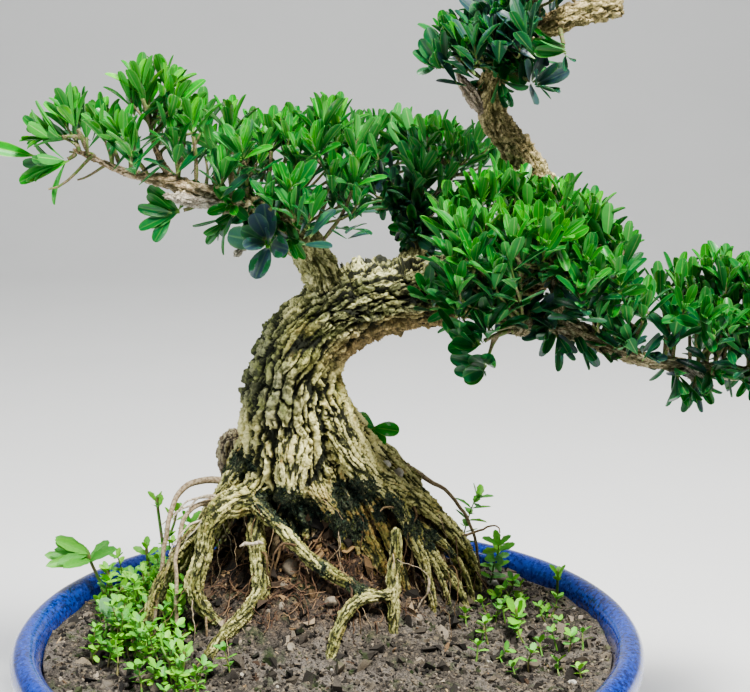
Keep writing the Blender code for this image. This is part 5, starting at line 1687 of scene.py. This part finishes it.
def tufts(name, count):
    """Tufts of a few moss shoots, of unit height."""
    draw = random.Random(name)
    objects = []
    for number in range(count):
        points, faces = [], []
        for _ in range(5):
            angle, lean = draw.uniform(0, 2 * math.pi), draw.uniform(0.1, 0.7)
            foot = Vector((math.cos(angle), math.sin(angle), 0)) * 0.28
            tip = foot * (1 + lean * 2.2) + Vector((0, 0, draw.uniform(0.6, 1.1)))
            first = len(points)
            for k in range(3):
                turn = angle + k * 2 * math.pi / 3
                points.append(foot + Vector((math.cos(turn), math.sin(turn), 0)) * 0.17)
            points.append(tip)
            faces += [(first + k, first + (k + 1) % 3, first + 3) for k in range(3)]
            faces.append((first + 2, first + 1, first))
        objects.append(new_object(f"{name}_{number}", points, faces))
    return group_of(name, objects)


def scatter(name, surface, share, variants, material, density, seed, sizes, turn):
    """Things scattered over a copy of a surface, with the density's share for each point."""
    obj = link(name, surface.data.copy())
    obj.data.materials.clear()
    set_attribute(obj.data, "density", share)
    scatter_tree().run(
        obj, Material=material, Variants=variants, Density=density, Seed=seed, Smallest=sizes[0],
        Largest=sizes[1], Turn=turn)
    return obj


# How far scattered things may be turned about each axis.
ANY_WAY = (3.14, 3.14, 3.14)
UPRIGHT_WAY = (0.6, 0.6, 3.14)


def make_moss(wood):
    """Short dark shoots of moss on the damp wood under the trunk."""
    moss, level = get_attribute(wood.data, "moss"), get_attribute(wood.data, "level")
    variants = tufts("moss_tuft", 4)
    share = band(moss * 1.4 - level, 0.2, 0.7)
    obj = scatter("moss", wood, share, variants, moss_finish(), 0.64, 4, (0.55, 1.8), UPRIGHT_WAY)
    remove_variants(variants)
    hand_over(obj, degrees=None)


def moss_finish():
    """Black-green moss with paler and bluish tips."""
    finish = Finish("dark_moss", Roughness=0.9)
    here = finish.place()
    tint = finish.attribute("tint")
    dark = finish.mix(tint, (0.006, 0.015, 0.011), (0.03, 0.06, 0.036))
    flecks = finish.fade(finish.noise(here, 0.12, 3.0), 0.4, 0.6, (0.08, 0.15, 0.11), (0.2, 0.22, 0.05))
    finish.colour(finish.mix(finish.band(tint, 0.5, 0.9) * 0.8, dark, flecks))
    finish.bump(finish.noise(here, 3.0, 2.0), 0.1, 0.5)
    return finish.material


def scatter_on_soil(soil):
    """Grains, lumps, gritty stones and chips of bark over the soil, and coarser scraps on the
    root ball."""
    points = get_points(soil.data)
    top = get_attribute(soil.data, "top")
    away = np.linalg.norm(points[:, :2] - np.array(MOUND_CENTRE), axis=1)
    mound = 1 - band(away, 34, 62)
    ball = band(points[:, 2], 112, 124)
    grains = grain_variants("grain", 6)
    clods = stones("clod", 5, 1, 0.7, 1.3)
    pebbles = stones("grit", 4, 2, 0.7, 0.5)
    chips = splinters("chip", 5)
    crumb, grit, chip = crumb_finish(), tinted_finish("grit_stone"), tinted_finish("bark_chip")
    for name, share, *rest in (
            ("soil_grains", 0.85 + 0.3 * mound, grains, crumb, 0.235, 1, (0.55, 2.0), ANY_WAY),
            ("soil_lumps", 1, clods, crumb, 0.025, 6, (0.9, 3.8), ANY_WAY),
            ("grit_stones", 1 - 0.5 * mound, pebbles, grit, 0.0035, 2, (0.8, 2.8), UPRIGHT_WAY),
            ("bark_chips", 0.35 + mound, chips, chip, 0.018, 3, (1.6, 7.0), (0.8, 0.8, 3.14)),
            ("peat_scraps", ball, chips, chip, 0.03, 8, (3.5, 13.0), (1.3, 1.3, 3.14)),
            ("peat_clods", ball, clods, crumb, 0.13, 5, (1.0, 4.4), ANY_WAY)):
        hand_over(scatter(name, soil, top * share, *rest), degrees=40)
    for variants in (grains, clods, pebbles, chips):
        remove_variants(variants)


def root_ball_share(finish, here):
    """1 on the old root ball and 0 on the soil below it."""
    return finish.band(finish.parts(here)["Z"] + finish.noise(here, 0.08, 2.0) * 16, 90.0, 114.0)


# Finishes of small things whose colour goes by each thing's tint: the roughness, the colour's
# stops, and the darker spots on it.
TINTED = {
    "grit_stone": (
        0.7, ((0.0, (0.08, 0.07, 0.06)), (0.5, (0.2, 0.16, 0.11)), (0.8, (0.3, 0.26, 0.2)),
              (1.0, (0.6, 0.57, 0.5))),
        {"scale": 1.2, "share": 0.4, "dark": (0.45, 0.4, 0.35), "strength": 0.7}),
    "bark_chip": (
        0.85, ((0.0, (0.03, 0.017, 0.01)), (0.45, (0.08, 0.046, 0.025)), (0.75, (0.27, 0.165, 0.08)),
               (1.0, (0.55, 0.4, 0.21))),
        {"scale": 1.6, "share": 0.5, "dark": (0.35, 0.3, 0.25)}),
    "thin_root": (
        0.8, ((0.0, (0.62, 0.54, 0.42)), (0.3, (0.4, 0.31, 0.19)), (0.6, (0.2, 0.13, 0.06)),
              (1.0, (0.08, 0.045, 0.024))),
        {"scale": 0.9, "share": 0.7, "dark": (0.3, 0.24, 0.18), "low": 0.38, "high": 0.62}),
    "peat_fibre": (
        0.85, ((0.0, (0.04, 0.018, 0.01)), (0.5, (0.11, 0.055, 0.03)), (1.0, (0.28, 0.18, 0.1))),
        {"scale": 0.8, "share": 0.5, "dark": (0.4, 0.35, 0.3), "detail": 3.0, "strength": 0.0}),
}


def tinted_finish(name):
    roughness, stops, spots = TINTED[name]
    finish = Finish(name, Roughness=roughness)
    finish.speckle(finish.ramp(finish.attribute("tint"), *stops), **spots)
    return finish.material


def crumb_finish():
    """Crumbs of earth with damp and green patches, and of red-brown peat on the root ball."""
    finish = Finish("soil_crumb", Roughness=0.92)
    here = finish.place()
    tint = finish.attribute("tint")
    earth = finish.ramp(
        tint, (0.0, (0.018, 0.015, 0.012)), (0.4, (0.05, 0.042, 0.034)), (0.75, (0.13, 0.11, 0.088)),
        (1.0, (0.42, 0.35, 0.26)))
    damp = finish.band(finish.noise(here, 0.05, 4.0), 0.4, 0.6)
    earth = finish.darken(damp * 0.7, earth, (0.4, 0.38, 0.33))
    algae = finish.band(finish.noise(here, 0.11, 4.0), 0.56, 0.66)
    earth = finish.mix(algae * 0.55, earth, (0.05, 0.085, 0.02))
    peat = finish.ramp(
        tint, (0.0, (0.008, 0.006, 0.004)), (0.5, (0.03, 0.02, 0.012)), (0.8, (0.11, 0.066, 0.034)),
        (1.0, (0.42, 0.27, 0.12)))
    body = finish.mix(root_ball_share(finish, here), earth, peat)
    finish.speckle(body, 1.8, 0.5, (0.4, 0.4, 0.4), depth=0.4, strength=0.9)
    return finish.material


FINE_ROOT_COUNT = 130
BALL_ROOT_COUNT = 120
FIBRE_COUNT = 900

# Stones that lie in plain sight, as (place, half sizes, tint).
PLACED_STONES = (
    ((-17, -6, 110), (4.3, 3.6, 5.0), 0.5), ((27.5, 18.5, 154), (2.5, 2.1, 2.0), 1.0),
    ((34, 21, 149), (2.2, 1.8, 2.7), 0.9), ((2, -20, 99), (3.0, 2.6, 2.4), 0.62),
    ((84, 77, 70), (3.2, 2.8, 2.4), 1.0), ((92, 81, 72), (6.5, 3.2, 2.8), 0.8),
    ((-20, -12, 103), (2.4, 2.2, 2.8), 0.4), ((12, 8, 114), (2.8, 2.4, 2.2), 0.85))
# A pale chip of wood, as (place, radius) along it.
WHITE_CHIP = (((-41, -10, 122.6), 0.5), ((-38.5, -10.5, 124.2), 1.0), ((-35, -10.5, 124), 0.8),
              ((-32, -10, 124.7), 1.0), ((-30, -9.5, 123.8), 0.5))
# Blender starts its vector noise from the clock unless it is given a seed.
THIN_ROOT_SEED = 7
# Where thin pale roots spring from the left side.
SIDE_HAIRS = ((-52, 6, 141), (-55, 4, 137), (-50, 2, 143), (-57, 0, 132), (-48, -2, 138))


def make_placed_stones():
    """The pale pebbles on the roots and the brown lumps in the root ball."""
    bm = bmesh.new()
    tints = []
    for number, (place, half, tint) in enumerate(PLACED_STONES):
        made = bmesh.ops.create_icosphere(bm, subdivisions=3, radius=1.0)["verts"]
        for vert in made:
            bump = 1 + 0.35 * noise.noise(vert.co * 1.2 + Vector((number * 5, 0, 0)))
            vert.co = Vector(vert.co[k] * half[k] for k in range(3)) * bump + Vector(place)
        tints += [tint] * len(made)
    placed = link("placed_stones", mesh_from(bm, "placed_stones"))
    placed.data.materials.append(tinted_finish("grit_stone"))
    set_attribute(placed.data, "tint", tints)
    hand_over(placed)


def make_fine_roots():
    """Roots too thin for bark: the arches at the left, the tail of the hump root, hair roots that
    hang from the big ones down to the soil, and brown ones over the root ball."""
    material = tinted_finish("thin_root")
    stems = Stems()
    noise.seed_set(THIN_ROOT_SEED)
    for name, limb in THIN_ROOTS.items():
        path = []
        for *place, radius in smooth_path(limb, 3.0):
            place = Vector(place)
            path.append((place + noise.noise_vector(place * 0.12) * 0.9, radius))
        stems.add(path, 0.3 if name == "hump_tail" else 0.24)
    stems.add([(Vector(place), radius) for place, radius in WHITE_CHIP], 0.0)
    draw = random.Random("hair roots")
    for start in SIDE_HAIRS:
        path, place, heading = [], Vector(start), Vector((-0.9, -0.15, 0.35))
        for step in range(13):
            path.append((place.copy(), 0.75 - 0.04 * step))
            heading = random_axis(draw, heading + Vector((-0.02, 0, -0.13)), 0.13)
            place = place + heading * 2.3
        stems.add(path, 0.0)
    rows = np.concatenate([
        smooth_path(limb, 4.0) for name, limb in ROOTS.items() if name != "root_stump"])
    rows = rows[(rows[:, 2] > 82) & (rows[:, 2] < 146) & (rows[:, 3] < 8)]
    while len(stems.paths) < FINE_ROOT_COUNT:
        x, y, z, radius = rows[draw.randrange(len(rows))]
        aside = random_axis(draw, Vector((0, -0.5, -0.6)), 0.7)
        stems.add(*hair_root(draw, Vector((x, y, z)) + aside * radius * 0.9, aside))
    hand_over(stems.make("fine_roots", material, sides=7))
    stems = Stems()
    for _ in range(BALL_ROOT_COUNT):
        stems.add(*ball_root(draw))
    hand_over(stems.make("ball_roots", material, sides=8))


def ball_root(draw):
    """A brown root that runs down over the old root ball."""
    angle = draw.gauss(-math.pi / 2, 1.1)
    share = draw.uniform(0.2, 0.9)
    x = ROOT_BALL_CENTRE[0] + math.cos(angle) * ROOT_BALL_RADII[0] * share
    y = ROOT_BALL_CENTRE[1] + math.sin(angle) * ROOT_BALL_RADII[1] * share
    heading = Vector((math.cos(angle), math.sin(angle)))
    radius = 0.7 + 2.5 * draw.random() ** 1.3
    steps = draw.randrange(8, 20)
    path = []
    for step in range(steps):
        taper = math.sin(math.pi * min(1.0, 0.25 + 0.75 * step / steps))
        path.append((Vector((x, y, ground(x, y) + 3.2 + radius * 0.6)), max(0.2, radius * taper)))
        turn = draw.gauss(0, 0.35)
        heading = Vector((
            heading.x * math.cos(turn) - heading.y * math.sin(turn),
            heading.x * math.sin(turn) + heading.y * math.cos(turn)))
        slope = math.hypot(1, (ground(x, y) - ground(x + heading.x, y + heading.y)))
        x += heading.x * 2.6 / slope
        y += heading.y * 2.6 / slope
    return path, 0.2 + 0.6 * draw.random()


def hair_root(draw, place, heading):
    """A thin root that wanders down from a place until it meets the soil or ends."""
    radius = draw.choice((0.2, 0.25, 0.3, 0.4, 0.7))
    steps = draw.randrange(5, 20)
    path = []
    for step in range(steps):
        path.append((place.copy(), radius * (1 - 0.6 * step / steps)))
        if place.z < ground(place.x, place.y) - 1:
            break
        heading = random_axis(draw, heading + Vector((0, 0, -0.28)), 0.3)
        place = place + heading * 2.4
    return path, draw.uniform(0.1, 1.0)


def make_peat():
    """Loose reddish fibres that cover the mound of old root ball."""
    draw = random.Random("peat")
    stems = Stems()
    centre = Vector((*MOUND_CENTRE, 0))
    for _ in range(FIBRE_COUNT):
        angle, away = draw.uniform(0, 2 * math.pi), 60 * math.sqrt(draw.random())
        place = centre + Vector((math.cos(angle), math.sin(angle), 0)) * away
        place.z = ground(place.x, place.y) + draw.uniform(0, 1.5)
        heading = random_axis(draw, Vector((0, 0, -0.1)), 1.0)
        path = []
        for _ in range(draw.randrange(5, 11)):
            path.append((place.copy(), draw.uniform(0.14, 0.32)))
            heading = random_axis(draw, heading, 0.35)
            place = place + heading * 2.2
            lift = place.z - ground(place.x, place.y)
            place.z += max(0.0, -lift) - 0.35 * max(0.0, lift - 2.5)
        stems.add(path, draw.random())
    hand_over(stems.make("peat_fibres", tinted_finish("peat_fibre"), sides=4))


# Weeds

# Beds of sprigs, as (low corner, high corner, number, range of height, leaf's length and width):
# the creeper at the left and front, and seedlings at the right.
CREEPER_LEAF = (5.4, 3.1)
SPRIG_BEDS = (
    ((-116, -40), (-60, 66), 64, (8, 27), CREEPER_LEAF),
    ((-104, -24), (-72, 40), 30, (8, 27), CREEPER_LEAF),
    ((-84, -80), (-28, -44), 16, (8, 27), CREEPER_LEAF),
    ((64, -40), (126, 70), 30, (4, 12), (5.0, 3.0)))
# Taller sprigs, as (foot, height).
TALL_SPRIGS = (((70, 84), 44), ((82, 78), 30), ((-76, 92), 30), ((-66, 100), 24))
TALL_SPRIG_LEAF = (9.5, 5.0)
# How young a CAD weed's leaves look and how much bigger they are.
WEED_LOOKS = {"weed_round": (0.1, 1.3), "weed_tall": (0.45, 1.3)}
OTHER_WEEDS = (0.8, 1.1)
# Each leaf of the tall weed stands for a fan, turned by so much.
TALL_WEED_FAN = (-0.9, 0, 0.9, 1.9)
CREEPER_CLEARANCE = 64.0
SOIL_REACH = 126.0


def creeper_place(draw, low, high):
    """A free place on the soil, clear of the roots."""
    rows = np.concatenate([smooth_path(limb, 4.0) for limb in ROOTS.values()])
    rows = rows[rows[:, 2] < 100]
    while True:
        x, y = draw.uniform(low[0], high[0]), draw.uniform(low[1], high[1])
        mound = math.hypot(x - MOUND_CENTRE[0], y - MOUND_CENTRE[1])
        if math.hypot(x, y) > SOIL_REACH or mound < CREEPER_CLEARANCE:
            continue
        if np.min(np.hypot(rows[:, 0] - x, rows[:, 1] - y) - rows[:, 3]) > 3:
            return Vector((x, y, ground(x, y) - 1))


def add_sprig(draw, leaves, stems, foot, height, length, width):
    """A stem that leans and climbs, with pairs of small leaves and a tuft on its tip."""
    heading = random_axis(draw, Vector((0, 0, 0.9)), 0.45)
    steps = max(3, round(height / 3.5))
    place = foot.copy()
    path = [(place.copy(), 0.5)]
    twist = draw.uniform(0, math.pi)
    for step in range(steps):
        heading = random_axis(draw, heading + Vector((0, 0, 0.25)), 0.14)
        place = place + heading * height / steps
        path.append((place.copy(), 0.5 - 0.25 * step / steps))
        if step == 0:
            continue
        twist += math.pi / 2
        last = step == steps - 1
        for turn in ((0, 1.57, 3.14, 4.71) if last else (0, 3.14)):
            out = heading.orthogonal().normalized()
            out.rotate(Matrix.Rotation(twist + turn + draw.uniform(-0.3, 0.3), 3, heading))
            direction = out + heading * (0.9 if last else 0.35)
            scale = draw.uniform(0.75, 1.15)
            leaves.add(place, direction, heading - out * 0.3, length * scale, width * scale,
                       draw.uniform(0.3, 1.0), draw.random())
    stems.add(path, draw.random())


def make_weeds():
    """Every small weed of the CAD model with finer leaves, the rest of the creeper that covers
    the left of the pot, and seedlings."""
    leaves, stems, cad_stems = Leaves(), Stems(), bmesh.new()
    draw = random.Random("weeds")
    nodes = sorted(name for name in frame["nodes"] if name.startswith("weed_"))
    for name in nodes:
        plant_leaves, _, bm = read_plant(name)
        age, big = WEED_LOOKS.get(name, OTHER_WEEDS)
        tall = name == "weed_tall"
        for seat, direction, up, length, width in plant_leaves:
            for turn in TALL_WEED_FAN if tall else (0,):
                aside = Matrix.Rotation(turn, 3, "Z") @ direction
                if tall:
                    aside = aside.normalized() + Vector((-0.5, 0, 0))
                    aside.z *= 0.2
                    up = Vector((0, -0.7, 1))
                leaves.add(seat, aside, up + Vector((0, -0.3, 0)), length * big,
                           width * big * (0.62 if tall else 1), age + draw.uniform(-0.1, 0.1),
                           draw.random())
        pour(bm, cad_stems)
    for low, high, count, heights, leaf in SPRIG_BEDS:
        for _ in range(count):
            foot = creeper_place(draw, low, high)
            add_sprig(draw, leaves, stems, foot, draw.uniform(*heights), *leaf)
    for (x, y), height in TALL_SPRIGS:
        foot = Vector((x, y, ground(x, y) - 1))
        add_sprig(draw, leaves, stems, foot, height, *TALL_SPRIG_LEAF)
    variants = leaf_variants("weed", WEED_WIDTHS)
    hand_over(leaves.make("weed_leaves", variants, weed_finish()), nodes)
    remove_variants(variants)
    make_stalks("weed_stems", cad_stems, stems, weed_stem_finish())


def weed_finish():
    """Thin bright green leaves, greyer when old."""
    finish = Finish(
        "weed_leaf", Roughness=0.5, Subsurface_Weight=0.15, Subsurface_Radius=(0.4, 1.0, 0.15),
        Subsurface_Scale=0.001)
    off_rib, along, _ = finish.blade()
    body = finish.ramp(
        finish.attribute("age"), (0.0, (0.14, 0.3, 0.15)), (0.4, (0.08, 0.34, 0.04)),
        (0.75, (0.17, 0.54, 0.035)), (1.0, (0.3, 0.68, 0.06)))
    ribs = abs(finish.math("FRACT", (along + off_rib * 0.25) * 6) - 0.5)
    rib = 1 - finish.band(off_rib, 0.02, 0.12)
    body = finish.mix(rib * 0.4 + (1 - finish.band(ribs, 0.02, 0.12)) * 0.25, body, (0.2, 0.45, 0.08))
    spots = finish.noise(finish.place(), 0.6, 3.0)
    finish.colour(finish.darken(finish.band(spots, 0.45, 0.7) * 0.3, body, (0.6, 0.7, 0.4)))
    finish.bump(ribs - rib, 0.08, 0.5)
    return finish.material


def weed_stem_finish():
    finish = Finish("weed_stem", Roughness=0.55)
    patches = finish.noise(finish.place(), 0.3, 3.0)
    finish.colour(finish.fade(patches, 0.4, 0.6, (0.12, 0.3, 0.04), (0.24, 0.2, 0.08)))
    return finish.material


# Studio


FLOOR_HALF_WIDTH = 2600
FLOOR_FRONT = -1400
SWEEP_START = 1200
SWEEP_RADIUS = 700
BACKDROP_HEIGHT = 2400
# Softboxes, as (name, place, target, size, watts, colour).
LIGHTS = (
    ("key", (330, -480, 1200), (0, 0, 220), 260, 34, (1.0, 0.99, 0.95)),
    ("top", (150, 150, 1300), (20, 0, 200), 600, 11, (1.0, 1.0, 1.0)),
    ("side", (-900, -500, 600), (20, 0, 200), 600, 6, (0.85, 0.92, 1.0)))
ROOM_COLOUR = (0.75, 0.8, 0.88, 1)
ROOM_STRENGTH = 0.23


def studio_finish():
    finish = Finish("pale_floor", Roughness=0.75)
    tone = finish.noise(finish.place(), 0.01, 2.0)
    finish.colour(finish.mix(tone, (0.72, 0.72, 0.71), (0.76, 0.76, 0.75)))
    return finish.material


def make_studio():
    """A pale floor that sweeps up into a backdrop, soft light, and the camera."""
    profile = [(FLOOR_FRONT, 0), (SWEEP_START, 0)]
    for step in range(1, 13):
        angle = math.radians(step * 7.5)
        profile.append((SWEEP_START + SWEEP_RADIUS * math.sin(angle),
                        SWEEP_RADIUS - SWEEP_RADIUS * math.cos(angle)))
    profile.append((SWEEP_START + SWEEP_RADIUS, BACKDROP_HEIGHT))
    points = [(x, y, z) for y, z in profile for x in (-FLOOR_HALF_WIDTH, FLOOR_HALF_WIDTH)]
    faces = [(i, i + 1, i + 3, i + 2) for i in range(0, len(points) - 2, 2)]
    floor = new_object("studio_floor", points, faces, material=studio_finish())
    floor.data.transform(Matrix.Scale(MM, 4))
    floor.data.shade_smooth()
    world = bpy.data.worlds.new("soft_room")
    world.use_nodes = True
    background = world.node_tree.nodes["Background"]
    background.inputs["Color"].default_value = ROOM_COLOUR
    background.inputs["Strength"].default_value = ROOM_STRENGTH
    bpy.context.scene.world = world
    for light in LIGHTS:
        add_light(*light)
    camera = bpy.data.cameras.new("camera")
    camera.lens = CAMERA_LENS
    camera.clip_start = 0.05
    camera.clip_end = 20
    viewer = link("camera", camera)
    viewer.location = Vector(CAMERA_PLACE) * MM
    viewer.rotation_euler = Euler((math.radians(CAMERA_TILT), 0, 0))
    bpy.context.scene.camera = viewer
    bpy.context.scene.view_settings.look = "AgX - Medium High Contrast"


def add_light(name, place, target, size, watts, colour):
    """A square softbox."""
    data = bpy.data.lights.new(name, "AREA")
    data.size = size * MM
    data.energy = watts
    data.color = colour
    light = link(name, data)
    light.location = Vector(place) * MM
    aim = Vector(place) - Vector(target)
    light.rotation_euler = aim.to_track_quat("Z", "Y").to_euler()


def main():
    make_studio()
    make_pot()
    make_soil()
    dress_screens()
    make_wood()
    make_foliage()
    make_weeds()
    make_fine_roots()
    make_placed_stones()
    make_peat()


main()
